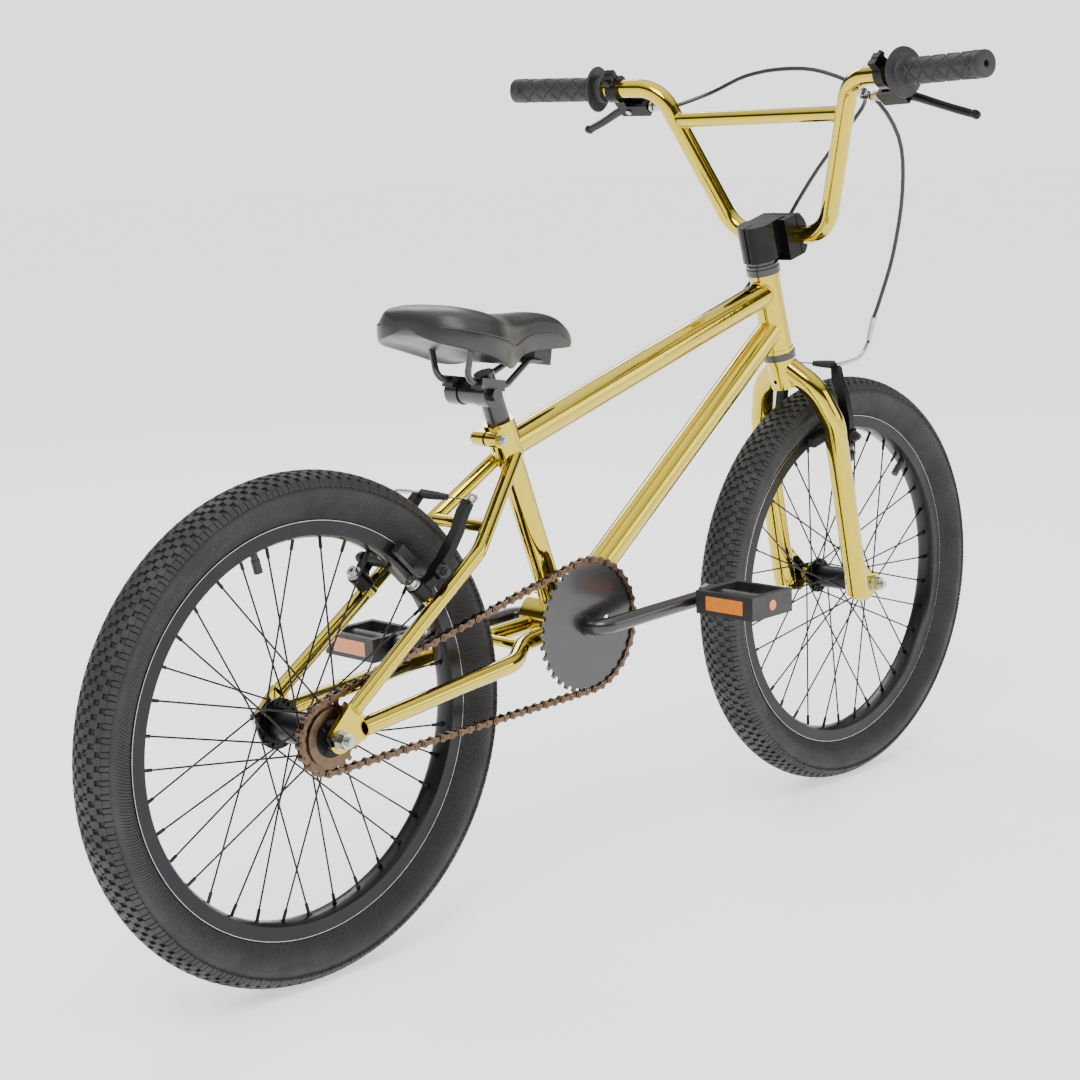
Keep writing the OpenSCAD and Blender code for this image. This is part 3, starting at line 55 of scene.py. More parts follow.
# %% Camera
def direction(azimuth, elevation):
    """Unit vector from the target to the viewer: azimuth 0 is on the -Y side and 90 on the +X side."""
    a, e = np.radians([azimuth, elevation])
    return np.array([np.sin(a) * np.cos(e), -np.cos(a) * np.cos(e), np.sin(e)])

def unit(v):
    """v divided by its length, along the last axis."""
    v = np.asarray(v, float)
    return v / np.linalg.norm(v, axis=-1, keepdims=True)

CAM_TARGET = np.array([-0.099, 0.0, 0.3938])
CAM_BACK = direction(-45.38, 10.65)
CAM_DISTANCE = 2.3092
CAM_ROLL = np.radians(-2.01)
level = unit(np.cross(-CAM_BACK, [0, 0, 1]))
upright = np.cross(level, -CAM_BACK)
cam_x = level * np.cos(CAM_ROLL) + upright * np.sin(CAM_ROLL)
cam_y = np.cross(CAM_BACK, cam_x)
camera = bpy.data.objects.new("camera", bpy.data.cameras.new("camera"))
bpy.context.scene.collection.objects.link(camera)
turn = np.eye(4)
turn[:3, 0], turn[:3, 1], turn[:3, 2] = cam_x, cam_y, CAM_BACK
turn[:3, 3] = CAM_TARGET + CAM_DISTANCE * CAM_BACK
camera.matrix_world = Matrix(turn.tolist())
camera.data.sensor_width = 36
camera.data.lens = 70.6
camera.data.clip_start, camera.data.clip_end = 0.05, 100
bpy.context.scene.camera = camera
print("camera at", turn[:3, 3].round(3), "lens", camera.data.lens)

# %% [markdown]
# A polished coloured coat shows mostly what stands around it, so the room matters as much as the
# metal. The sky of this room is pale at floor level, dark in a band above the horizon and bright
# overhead, as in a studio with a soft ceiling and dark walls. Three soft boxes draw the long
# highlights on the tubes.

# %% Room and lights
def new_nodes(tree):
    """Empties a node tree and returns short helpers for adding and joining nodes."""
    tree.nodes.clear()
    def add(kind, **values):
        node = tree.nodes.new(kind)
        for key, value in values.items():
            setattr(node, key, value)
        return node
    return add, tree.links.new

room = bpy.data.worlds.new("room")
bpy.context.scene.world = room
room.use_nodes = True
add, join = new_nodes(room.node_tree)
where = add("ShaderNodeTexCoord")
split = add("ShaderNodeSeparateXYZ")
shade = add("ShaderNodeValToRGB")
glow = add("ShaderNodeBackground")
sky = add("ShaderNodeOutputWorld")
join(where.outputs["Generated"], split.inputs[0])
height = add("ShaderNodeMath", operation="MULTIPLY_ADD")
height.inputs[1].default_value = 0.5
height.inputs[2].default_value = 0.5
join(split.outputs["Z"], height.inputs[0])
join(height.outputs[0], shade.inputs[0])
join(shade.outputs[0], glow.inputs[0])
join(glow.outputs[0], sky.inputs[0])
stops = [(0.0, 0.95), (0.535, 0.95), (0.575, 0.06), (0.72, 0.02), (0.80, 0.45), (1.0, 0.9)]
shade.color_ramp.elements.remove(shade.color_ramp.elements[1])
shade.color_ramp.elements[0].position = stops[0][0]
for at, _ in stops[1:]:
    shade.color_ramp.elements.new(at)
for stop, (at, grey) in zip(shade.color_ramp.elements, stops):
    stop.color = (grey, grey, grey, 1)
glow.inputs["Strength"].default_value = 2.1

def soft_box(name, at, target, size, power):
    """A rectangular area light at one point, facing another."""
    lamp = bpy.data.lights.new(name, "AREA")
    lamp.shape, (lamp.size, lamp.size_y), lamp.energy = "RECTANGLE", size, power
    holder = bpy.data.objects.new(name, lamp)
    bpy.context.scene.collection.objects.link(holder)
    back = unit(np.subtract(at, target))
    side = unit(np.cross([0.001, 0, 1], back))
    grid = np.eye(4)
    grid[:3, 0], grid[:3, 1], grid[:3, 2], grid[:3, 3] = side, np.cross(back, side), back, at
    holder.matrix_world = Matrix(grid.tolist())

soft_box("key", (-2.2, -1.2, 3.2), (0, 0, 0.3), (1.8, 1.8), 75)
soft_box("fill", (1.6, -3.2, 1.6), (0, 0, 0.4), (2.4, 1.4), 32)
soft_box("back", (1.5, 2.8, 2.6), (0, 0, 0.5), (2.0, 1.2), 40)

floor = bpy.data.objects.new("floor", bpy.data.meshes.new("floor"))
bpy.context.scene.collection.objects.link(floor)
floor.data.from_pydata([(-30, -30, 0), (30, -30, 0), (30, 30, 0), (-30, 30, 0)], [], [(0, 1, 2, 3)])
paper = bpy.data.materials.new("paper floor")
paper.use_nodes = True
paper.node_tree.nodes["Principled BSDF"].inputs["Base Color"].default_value = (0.93, 0.93, 0.93, 1)
paper.node_tree.nodes["Principled BSDF"].inputs["Roughness"].default_value = 0.9
paper.node_tree.nodes["Principled BSDF"].inputs["Emission Color"].default_value = (1, 1, 1, 1)
paper.node_tree.nodes["Principled BSDF"].inputs["Emission Strength"].default_value = 0.95
floor.data.materials.append(paper)
print("three soft boxes and a pale floor")

# %% [markdown]
# ## Finishes
#
# Every material is a Principled shader. Colours, coats and metalness that are the same all over a
# surface are typed on the shader itself, while small patterns, such as the orange peel of a
# lacquer or the grain of moulded plastic, come from noise fed to its roughness and bump. Patterns
# read Object coordinates, so one scale in metres fits every piece.

# %% One recipe for a finish
def finish(name, colour, rough=0.4, metal=0.0, grain=(), spread=0.06, tint=0.0, mottle=8, **shader):
    """A Principled material. grain is (scale per metre, height in metres) pairs of noise bump;
    spread is how far the roughness wanders; tint is how far the colour darkens in soft patches,
    mottle patches to the metre; other words set the shader's own sockets."""
    made = bpy.data.materials.new(name)
    made.use_nodes = True
    tree = made.node_tree
    add, join = new_nodes(tree)
    out, skin = add("ShaderNodeOutputMaterial"), add("ShaderNodeBsdfPrincipled")
    join(skin.outputs[0], out.inputs[0])
    skin.inputs["Base Color"].default_value = (*colour, 1)
    skin.inputs["Metallic"].default_value = metal
    skin.inputs["Roughness"].default_value = rough
    for socket, value in shader.items():
        skin.inputs[socket.replace("_", " ")].default_value = value
    place = add("ShaderNodeTexCoord")
    cloud = add("ShaderNodeTexNoise")
    cloud.inputs["Scale"].default_value = mottle
    cloud.inputs["Detail"].default_value = 5
    join(place.outputs["Object"], cloud.inputs["Vector"])
    if spread:
        band = add("ShaderNodeMapRange")
        band.inputs["To Min"].default_value = max(rough - spread, 0.02)
        band.inputs["To Max"].default_value = min(rough + spread, 1)
        band.inputs["From Min"].default_value, band.inputs["From Max"].default_value = 0.3, 0.7
        join(cloud.outputs["Fac"], band.inputs["Value"])
        join(band.outputs["Result"], skin.inputs["Roughness"])
    if tint:
        mix = add("ShaderNodeMix", data_type="RGBA")
        mix.inputs["A"].default_value = (*colour, 1)
        mix.inputs["B"].default_value = (*[c * (1 - tint) for c in colour], 1)
        join(cloud.outputs["Fac"], mix.inputs["Factor"])
        join(mix.outputs["Result"], skin.inputs["Base Color"])
    last = None
    for scale, deep in grain:
        speck, bump = add("ShaderNodeTexNoise"), add("ShaderNodeBump")
        speck.inputs["Scale"].default_value = scale
        speck.inputs["Detail"].default_value = 3
        bump.inputs["Distance"].default_value = deep
        join(place.outputs["Object"], speck.inputs["Vector"])
        join(speck.outputs["Fac"], bump.inputs["Height"])
        if last:
            join(last.outputs[0], bump.inputs["Normal"])
        last = bump
    if last:
        join(last.outputs[0], skin.inputs["Normal"])
    return made

# %% The finishes of this bike
GOLD = (0.60, 0.45, 0.006)
gold_coat = finish("candy gold", GOLD, 0.07, 1.0, grain=((90, 0.00012), (700, 0.00001)),
                   spread=0.03, tint=0.12, mottle=14, Coat_Weight=1.0, Coat_Roughness=0.03)
black_paint = finish("black gloss paint", (0.010, 0.010, 0.011), 0.28, grain=((500, 0.00003),),
                     Coat_Weight=0.5, Coat_Roughness=0.12)
black_anodised = finish("black anodised", (0.020, 0.020, 0.022), 0.36, 0.85, grain=((900, 0.00003),),
                        spread=0.08, tint=0.3, mottle=40)
rim_black = finish("black rim", (0.018, 0.018, 0.020), 0.32, 0.6, grain=((300, 0.00004),),
                   spread=0.08, tint=0.25, mottle=30)
spoke_black = finish("black spokes", (0.015, 0.015, 0.016), 0.30, 0.7, grain=((800, 0.00002),))
zinc = finish("zinc plate", (0.58, 0.58, 0.56), 0.28, 1.0, grain=((600, 0.00004),), spread=0.1,
              tint=0.35, mottle=120)
brown_steel = finish("brown chain steel", (0.17, 0.115, 0.075), 0.34, 1.0,
                     grain=((500, 0.00006), (60, 0.0001)), spread=0.12, tint=0.5, mottle=90)
tyre_rubber = finish("tyre rubber", (0.021, 0.020, 0.020), 0.62, grain=((700, 0.0002), (2500, 0.00005)),
                     spread=0.12, tint=0.35, mottle=30)
soft_rubber = finish("soft rubber", (0.016, 0.016, 0.017), 0.55, grain=((900, 0.00010),),
                     spread=0.1, tint=0.3, mottle=60)
black_plastic = finish("grained plastic", (0.014, 0.014, 0.016), 0.46, grain=((1400, 0.00008),),
                       spread=0.08, tint=0.25, mottle=50)
saddle_skin = finish("saddle skin", (0.017, 0.017, 0.019), 0.42, grain=((520, 0.00012), (60, 0.0003)),
                     spread=0.08, tint=0.3, mottle=18, Coat_Weight=0.15, Coat_Roughness=0.35)
housing_black = finish("cable housing", (0.012, 0.012, 0.013), 0.30, grain=((300, 0.00004),))
amber = finish("amber lens", (0.80, 0.22, 0.015), 0.18, grain=((500, 0.0002),), spread=0.05,
               tint=0.3, mottle=200, Coat_Weight=0.8)
print(len(bpy.data.materials), "materials")

# %% [markdown]
# ## Tools for surfaces
#
# Most new pieces are one of three kinds of surface: a ring of points carried along a path, a
# profile turned about an axis, or a flat outline given a thickness. Each is computed as one array
# of points, row by row, and the faces are the quads of that grid.

# %% Grids, paths and pieces
def grid_faces(rows, cols, close_rows=False, close_cols=True, start=0):
    """Quads between neighbouring points of a grid numbered row by row: each corner joins the next
    in its row and the two below, wrapping round where the grid is closed."""
    r = np.arange(rows if close_rows else rows - 1)[:, None]
    c = np.arange(cols if close_cols else cols - 1)[None, :]
    quads = np.stack(np.broadcast_arrays(
        r * cols + c, r * cols + (c + 1) % cols,
        (r + 1) % rows * cols + (c + 1) % cols, (r + 1) % rows * cols + c), -1)
    return (quads.reshape(-1, 4) + start).tolist()

def join_parts(parts):
    """One (points, faces) pair from several, each part's faces moved on by the points before it."""
    points, faces, count = [], [], 0
    for p, f in parts:
        points.append(np.asarray(p, float).reshape(-1, 3))
        faces += [[i + count for i in face] for face in f]
        count += len(points[-1])
    return np.concatenate(points), faces

def piece(name, parts, body, material, replaces=(), sharp=35):
    """Makes one mesh object from (points, faces) parts in millimetres, turns its faces outwards,
    shades it smooth but for edges over `sharp` degrees, and lets it ride on a body."""
    points, faces = join_parts(parts)
    name = name.replace(" ", "_")
    mesh = bpy.data.meshes.new(name)
    mesh.from_pydata((points * 0.001).tolist(), [], faces)
    work = bmesh.new()
    work.from_mesh(mesh)
    bmesh.ops.recalc_face_normals(work, faces=work.faces)
    work.to_mesh(mesh)
    work.free()
    mesh.shade_smooth()
    mesh.set_sharp_from_angle(angle=np.radians(sharp))
    mesh.materials.append(material)
    made = bpy.data.objects.new(name, mesh)
    bpy.context.scene.collection.objects.link(made)
    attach(made, body)
    if replaces:
        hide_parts(*replaces)
    print(f"{name}: {len(mesh.polygons)} faces")
    return made

def spline(points, steps):
    """A smooth curve through the points: on each stretch the cubic whose slopes are half the
    distance between the neighbours on either side (Catmull and Rom's)."""
    p = np.asarray(points, float)
    a, b, c, d = (p[np.clip(np.arange(len(p) - 1) + k, 0, len(p) - 1)][:, None] for k in (-1, 0, 1, 2))
    t = (np.arange(steps) / steps)[None, :, None]
    curve = 0.5 * (2 * b + (c - a) * t + (2 * a - 5 * b + 4 * c - d) * t**2
                   + (3 * b - a - 3 * c + d) * t**3)
    return np.concatenate([curve.reshape(-1, p.shape[1]), p[-1:]])

def rounded(points, radius, steps=12):
    """A path with a circular bend at each inner corner: between the two points where the bend
    touches the straights, the corner is replaced by points turned about the bend's centre."""
    p = np.asarray(points, float)
    path = [p[:1]]
    radii = np.broadcast_to(radius, len(p) - 2)
    for before, corner, after, r in zip(p[:-2], p[1:-1], p[2:], radii):
        u, v = unit(corner - before), unit(after - corner)
        angle = np.arccos(np.clip(u @ v, -1, 1))
        inward = unit(v - (u @ v) * u)
        start = corner - r * np.tan(angle / 2) * u
        a = np.linspace(0, angle, steps)[:, None]
        path.append(start + r * inward + r * (np.sin(a) * u - np.cos(a) * inward))
    return np.concatenate(path + [p[-1:]])

def frames(path, side):
    """Two unit vectors square to the path at each point, the first square to `side` as well."""
    ahead = np.vstack([path[1:2] - path[:1], path[2:] - path[:-2], path[-1:] - path[-2:-1]])
    x = unit(np.cross(np.broadcast_to(side, ahead.shape), ahead))
    return x, unit(np.cross(ahead, x))

def sweep(path, shape, side=(0, 1, 0), scale=1.0):
    """A closed outline carried along a path: point = path + scale·(u·x + v·y) for each outline
    point (u, v) and the frame (x, y) at that step. Both ends are capped."""
    path = np.asarray(path, float)
    x, y = frames(path, side)
    k = np.broadcast_to(scale, len(path))[:, None, None]
    ring = path[:, None] + k * (shape[None, :, :1] * x[:, None] + shape[None, :, 1:] * y[:, None])
    n, m = len(path), len(shape)
    caps = [list(range(m))[::-1], list(range((n - 1) * m, n * m))]
    return ring.reshape(-1, 3), grid_faces(n, m) + caps

def circle(r, n=32, squash=1.0):
    """n points round a circle of radius r, the second axis scaled by squash."""
    a = np.arange(n) * 2 * np.pi / n
    return np.stack([r * np.cos(a), squash * r * np.sin(a)], 1)

def rod(a, b, d, n=24):
    """A straight round bar from a to b."""
    a, b = np.asarray(a, float), np.asarray(b, float)
    side = (0, 1, 0) if abs(unit(b - a)[1]) < 0.9 else (0, 0, 1)
    return sweep(np.stack([a, b]), circle(d / 2, n), side)

def turned(profile, at, axis, n=64, start=0.0):
    """A profile of (distance from the axis, distance along it) turned about the axis through `at`.
    An open profile's ends are closed with discs."""
    axis = unit(axis)
    e1 = unit(np.cross(axis, (0, 0, 1) if abs(axis[2]) < 0.9 else (1, 0, 0)))
    e2 = np.cross(axis, e1)
    p = np.asarray(profile, float)
    a = (np.arange(n) * 2 * np.pi / n + start)[:, None, None]
    out = np.cos(a) * e1 + np.sin(a) * e2
    spot = np.asarray(at, float) + p[None, :, :1] * out + p[None, :, 1:] * axis
    m = len(p)
    faces = grid_faces(n, m, close_rows=True, close_cols=False)
    return spot.reshape(-1, 3), faces + [list(range(0, n * m, m)), list(range(m - 1, n * m, m))[::-1]]

def ring_part(profile, at, axis, n=96):
    """A closed profile turned about an axis: a ring with no ends to cap."""
    p = np.asarray(profile, float)
    points, _ = turned(p, at, axis, n)
    return points, grid_faces(n, len(p), close_rows=True)

def plate(outline, thick, at, x_axis, y_axis):
    """A flat outline of (u, v) points in the plane of two axes, given a thickness to either side."""
    o, x, y = np.asarray(outline, float), unit(x_axis), unit(y_axis)
    z = np.cross(x, y)
    flat = np.asarray(at, float) + o[:, :1] * x + o[:, 1:] * y
    n = len(o)
    sides = [[i, (i + 1) % n, (i + 1) % n + n, i + n] for i in range(n)]
    return (np.concatenate([flat - z * thick / 2, flat + z * thick / 2]),
            sides + [list(range(n))[::-1], list(range(n, 2 * n))])

# %% [markdown]
# ## The engineering model's own surfaces
#
# Tubes, cups, nuts, spokes and hubs already have their true shape, so they are kept. Their meshes
# are loose triangles, which would show as facets in a mirror-like coat. Two modifiers cure that
# without touching the mesh: Weld joins the triangles' corners, and a small node group shades
# smooth every edge that bends less than thirty degrees.

# %% Smooth shading for kept pieces
soften = bpy.data.node_groups.new("smooth by angle", "GeometryNodeTree")
soften.interface.new_socket("Geometry", in_out="INPUT", socket_type="NodeSocketGeometry")
soften.interface.new_socket("Geometry", in_out="OUTPUT", socket_type="NodeSocketGeometry")
add, join = new_nodes(soften)
come, go = add("NodeGroupInput"), add("NodeGroupOutput")
faces_smooth = add("GeometryNodeSetShadeSmooth", domain="FACE")
edges_smooth = add("GeometryNodeSetShadeSmooth", domain="EDGE")
bend, low = add("GeometryNodeInputMeshEdgeAngle"), add("FunctionNodeCompare", operation="LESS_THAN")
low.inputs[1].default_value = np.radians(30)
join(come.outputs[0], faces_smooth.inputs["Geometry"])
join(faces_smooth.outputs[0], edges_smooth.inputs["Geometry"])
join(bend.outputs["Unsigned Angle"], low.inputs[0])
join(low.outputs[0], edges_smooth.inputs["Shade Smooth"])
join(edges_smooth.outputs[0], go.inputs[0])

def keep(material, *names):
    """Shades kept pieces smooth and gives them a finish."""
    for name in names:
        thing = nodes[name]
        thing.data.materials.clear()
        thing.data.materials.append(material)
        weld = thing.modifiers.new("join corners", "WELD")
        weld.merge_threshold = 0.00001
        smooth = thing.modifiers.new("smooth", "NODES")
        smooth.node_group = soften

keep(gold_coat, "head_tube", "top_tube", "down_tube", "seat_tube", "bottom_bracket_shell",
     "chain_stays", "seat_stays", "stay_bridges", "fork_legs", "handlebar")
keep(gold_coat, "steerer")
keep(black_paint, "headset_cups", "headset_nuts", "bottom_bracket_cups", "crank_cones",
     "seatpost", "rail_clamp", "saddle_rails", "chainring")
keep(black_anodised, "stem", "stem_cap", "lever_mounts",
     "front_hub", "rear_hub", "rear_brake_arm_left", "rear_brake_arm_right",
     "front_brake_arm_left", "front_brake_arm_right")
keep(rim_black, "front_rim", "rear_rim")
keep(spoke_black, "front_spokes", "rear_spokes")
keep(zinc, "frame_bolts", "rear_axle", "front_axle", "fork_bolts", "pedal_spindles")
keep(brown_steel, "chain", "freewheel")
keep(soft_rubber, "front_inner_tube", "rear_inner_tube",
     "rear_brake_pad_left", "rear_brake_pad_right", "front_brake_pad_left", "front_brake_pad_right")
keep(black_plastic, "pedal_left", "pedal_right")
keep(amber, "pedal_reflectors_left", "pedal_reflectors_right")
keep(housing_black, "rear_brake_cable", "front_brake_cable")
print("kept surfaces have their finishes")

# %% [markdown]
# ## Tyres
#
# A tyre is a tube of rubber whose section is a closed profile turned about the axle. Its blocks
# stand in nine rows across the tread, with two sizes taking turns in the outermost rows. Each
# block is a small frustum whose corners follow the
# carcass: a corner is found by walking along the section, then out along the section's normal,
# then round the axle. All blocks of a row are one array, because only their angle differs.

# %% Tyre carcass and tread blocks
SECTION = np.array([(207.5, 10), (210.5, 11.8), (218, 19), (225, 24.5), (232.5, 26.8), (240, 26),
                    (246.5, 22.2), (251.5, 15.5), (254.4, 8), (255.3, 0)], float)
TYRE_CORE, INNER_PART = (232, 0), 0.86
PITCHES = 120
BLOCK = np.array([(-3.0, -4.3), (3.0, -4.3), (4.1, -3.2), (4.1, 3.2), (3.0, 4.3), (-3.0, 4.3),
                  (-4.1, 3.2), (-4.1, -3.2)], float)

def section_point(s):
    """Distance from the axle, distance from the middle plane and the outward normal at a distance
    s along the section from the crown, found by interpolation in the section's running length."""
    half = spline(SECTION, 8)[::-1]
    run = np.concatenate([[0], np.cumsum(np.linalg.norm(np.diff(half, axis=0), axis=1))])
    r = np.interp(np.abs(s), run, half[:, 0])
    y = np.interp(np.abs(s), run, half[:, 1]) * np.sign(s)
    step = 0.4
    r2, y2 = (np.interp(np.abs(s) + step, run, half[:, k]) for k in (0, 1))
    y2 = y2 * np.where(s < 0, -1, 1)
    along = unit(np.stack([r2 - r, y2 - y], -1))
    normal = np.stack([np.abs(along[..., 1]), -along[..., 0] * np.sign(along[..., 1])], -1)
    return r, y, normal

def block_row(at, offset, phase, size, tall):
    """One row of blocks: rings of eight corners at three heights, the upper ones drawn in."""
    turn = ((np.arange(PITCHES) + phase) * 2 * np.pi / PITCHES)[:, None, None]
    level = np.array([(-0.8, 1.08), (tall - 0.5, 0.96), (tall, 0.84)])
    u = (BLOCK[:, 0] * size[0])[None, :] * level[:, 1:]
    v = (BLOCK[:, 1] * size[1])[None, :] * level[:, 1:]
    r, y, normal = section_point(offset + v)
    r = r + normal[..., 0] * level[:, :1]
    y = y + normal[..., 1] * level[:, :1]
    angle = turn + (u / r)[None]
    points = np.stack([at[0] + r * np.cos(angle), np.broadcast_to(at[1] + y, angle.shape),
                       at[2] + r * np.sin(angle)], -1)
    one = grid_faces(3, 8) + [list(range(8))[::-1], list(range(16, 24))]
    corners = 24
    quads = [[k * corners + i for i in face] for k in range(PITCHES) for face in one]
    return points.reshape(-1, 3), quads

def tyre(name, at, body, node, material):
    outer = spline(SECTION, 5)
    outer = np.concatenate([outer, outer[-2::-1] * (1, -1)])
    inner = (outer - TYRE_CORE) * INNER_PART + TYRE_CORE
    parts = [ring_part(np.concatenate([outer, inner[::-1]]), at, (0, 1, 0), 360)]
    rows = [(0, 0, (1, 1), 2.7), (12.6, 0, (1, 1), 2.7), (6.4, 0.5, (0.95, 0.7), 2.6),
            (18.8, 0.5, (1, 0.85), 2.8), (25.4, 0.0, (0.62, 0.9), 2.9), (25.4, 0.5, (0.9, 0.8), 2.9)]
    for offset, phase, size, tall in rows:
        for side in ((-1, 1) if offset else (1,)):
            parts.append(block_row(at, side * offset, phase + 0.25 * (side < 0), size, tall))
    return piece(name, parts, body, material, (node,), sharp=30)

def ribbed_rubber(name, at):
    """Tyre rubber with fine slanted ribs on the walls: the bump is a sine of the angle round the
    axle plus the distance from it, faded out on the tread."""
    made = tyre_rubber.copy()
    made.name = name
    tree = made.node_tree
    skin = next(n for n in tree.nodes if n.type == "BSDF_PRINCIPLED")
    def add(kind, **values):
        node = tree.nodes.new(kind)
        for key, value in values.items():
            setattr(node, key, value)
        return node
    join = tree.links.new
    where, split = add("ShaderNodeTexCoord"), add("ShaderNodeSeparateXYZ")
    shift = add("ShaderNodeVectorMath", operation="SUBTRACT")
    shift.inputs[1].default_value = (at[0] * 0.001, 0, at[2] * 0.001)
    turn = add("ShaderNodeMath", operation="ARCTAN2")
    far = add("ShaderNodeVectorMath", operation="LENGTH")
    flat = add("ShaderNodeCombineXYZ")
    phase = add("ShaderNodeMath", operation="MULTIPLY_ADD")
    wave = add("ShaderNodeMath", operation="SINE")
    twist = add("ShaderNodeMath", operation="MULTIPLY")
    fade = add("ShaderNodeMapRange", interpolation_type="SMOOTHSTEP")
    height, bump = add("ShaderNodeMath", operation="MULTIPLY"), add("ShaderNodeBump")
    join(where.outputs["Object"], shift.inputs[0])
    join(shift.outputs[0], split.inputs[0])
    join(split.outputs["Z"], turn.inputs[0])
    join(split.outputs["X"], turn.inputs[1])
    join(split.outputs["X"], flat.inputs[0])
    join(split.outputs["Z"], flat.inputs[2])
    join(flat.outputs[0], far.inputs[0])
    twist.inputs[1].default_value = 900.0
    phase.inputs[1].default_value = 480.0
    join(far.outputs["Value"], twist.inputs[0])
    join(turn.outputs[0], phase.inputs[0])
    join(twist.outputs[0], phase.inputs[2])
    join(phase.outputs[0], wave.inputs[0])
    fade.inputs["From Min"].default_value = 0.240
    fade.inputs["From Max"].default_value = 0.232
    join(far.outputs["Value"], fade.inputs["Value"])
    join(wave.outputs[0], height.inputs[0])
    join(fade.outputs[0], height.inputs[1])
    bump.inputs["Distance"].default_value = 0.0006
    join(height.outputs[0], bump.inputs["Height"])
    if skin.inputs["Normal"].links:
        join(skin.inputs["Normal"].links[0].from_socket, bump.inputs["Normal"])
    join(bump.outputs[0], skin.inputs["Normal"])
    return made

FRONT_HUB, REAR_HUB = (444, 0, 258), (-444, 0, 258)
for end, hub in (("front", FRONT_HUB), ("rear", REAR_HUB)):
    tyre(f"{end} tread", hub, f"{end}_wheel", f"{end}_tyre", ribbed_rubber(f"{end} tyre rubber", hub))

# %% [markdown]
# ## Saddle
#
# Foam under a stretched skin has no flats, so the saddle is lofted from stations along its length.
# At each station the section is half an oval over the top, a rounded shoulder and a skirt that
# falls to the rim and turns under it. Half width, top height and rim height come from smooth
# curves through a few measured values. The skin is subdivided once to pull the corners in.

# %% Saddle skin, seam and base
TILT_AT = np.array([-190.928, 0, 565.022])
SADDLE_FWD, SADDLE_UP = np.array([0.984808, 0, -0.173648]), np.array([0.173648, 0, 0.984808])

def on_saddle(x, y, z):
    """A point given in the saddle's own axes: forward, left and up from its tilt bolt."""
    x, y, z = np.broadcast_arrays(np.asarray(x, float), y, z)
    sideways = y[..., None] * np.array([0, 1, 0])
    return TILT_AT + x[..., None] * SADDLE_FWD + sideways + z[..., None] * SADDLE_UP

stations = np.array([  # forward, half width, top, rim, fall of the top from middle to shoulder
    (-101.5, 20, 66, 52, 5), (-98, 42, 76, 47, 9), (-88, 60, 82, 44, 13), (-70, 75, 85.5, 41, 17),
    (-45, 79, 85.5, 38, 19), (-20, 70, 83.5, 33, 20), (0, 56, 83, 28, 21), (20, 42, 84.5, 31, 20),
    (40, 32, 87, 44, 17), (62, 26, 90.5, 50, 14), (84, 22.5, 91.5, 53, 13), (104, 19.5, 89, 56, 12),
    (120, 16, 82, 58, 10), (131, 11, 74, 60, 6), (136, 5, 68, 62, 2)], float)
rows = spline(stations, 3)

def saddle_section(half, top, rim, fall, n=26):
    """Points across one station from the left rim over the top to the right rim: the height drops
    from the middle by the fall times the square of the sideways part, then down the skirt."""
    t = np.linspace(-1, 1, n)
    a = np.abs(t)
    over = np.clip(a / 0.62, 0, 1)
    down = np.clip((a - 0.62) / 0.38, 0, 1)
    y = half * (0.90 * np.sin(over * np.pi / 2) ** 0.9
                + 0.10 * np.sin(np.clip(down * 2, 0, 1) * np.pi / 2)
                - 0.07 * np.clip(down * 2 - 1, 0, 1) ** 2)
    z = top - fall * over ** 2.2 - (top - fall - rim) * down ** 1.15
    return np.sign(t) * y, z

skin_rows = []
for x, half, top, rim, fall in rows:
    y, z = saddle_section(half, top, rim, fall)
    under = np.linspace(0.84, -0.84, 9)
    y = np.concatenate([y, [y[-1] * 0.97], under * abs(y[-1]), [y[0] * 0.97]])
    z = np.concatenate([z, [z[-1] - 1.2], np.full(9, rim + 4.0), [z[0] - 1.2]])
    skin_rows.append(on_saddle(x, y, z))
skin_rows = np.array(skin_rows)
count, around = skin_rows.shape[:2]
saddle_ends = [list(range(around))[::-1], list(range((count - 1) * around, count * around))]
saddle_grid = (skin_rows.reshape(-1, 3), grid_faces(count, around) + saddle_ends)
saddle_top = piece("saddle skin", [saddle_grid], "saddle", saddle_skin, ("saddle",), sharp=80)
swell = saddle_top.modifiers.new("skin", "SUBSURF")
swell.levels = swell.render_levels = 1

# a raised seam a little above the rim along both sides, through one chosen point of each section
ACROSS, SEAM_POINT = 101, 12
seam = []
for x, half, top, rim, fall in rows[4:-6]:
    y, z = saddle_section(half, top, rim, fall, ACROSS)
    seam.append((x, y[SEAM_POINT], z[SEAM_POINT]))
seam = np.array(seam)
edge = on_saddle(*spline(seam, 2).T), on_saddle(*(spline(seam, 2) * (1, -1, 1)).T)
piece("saddle seam", [sweep(line, circle(1.1, 8), (0, 0, 1)) for line in edge],
      "saddle", saddle_skin, sharp=80)

# the base under the skin: a block that takes the rails at the nose and two pads at the tail
def saddle_block(x, y, z, wide, deep, tall):
    """A block centred on a point of the saddle's axes, wide along it, deep across and tall."""
    half = np.array([(-1, -1), (1, -1), (1, 1), (-1, 1)]) * (wide / 2, deep / 2)
    return plate(half, tall, on_saddle(x, y, z), SADDLE_FWD, (0, 1, 0))

piece("saddle base blocks", [saddle_block(88, 0, 50, 26, 23, 26), saddle_block(-38, 32, 49, 20, 16, 8),
                             saddle_block(-38, -32, 49, 20, 16, 8)], "saddle", black_plastic,
      ("saddle_base",), sharp=30)

# %% [markdown]
# ## Grips
#
# A grip is turned about the bar, with its radius pressed in between raised diamonds. The relief is
# the product of two families of slanting grooves, each a power of a cosine of angle plus distance
# along the grip, faded out at both ends.

# %% Grips
HAND = {1: np.array([-0.196539, 0.980151, 0.0260065]), -1: np.array([-0.196539, -0.980151, 0.0260065])}
GRIP_IN = {s: np.array([262.407, s * 226, 881.499]) for s in (1, -1)}

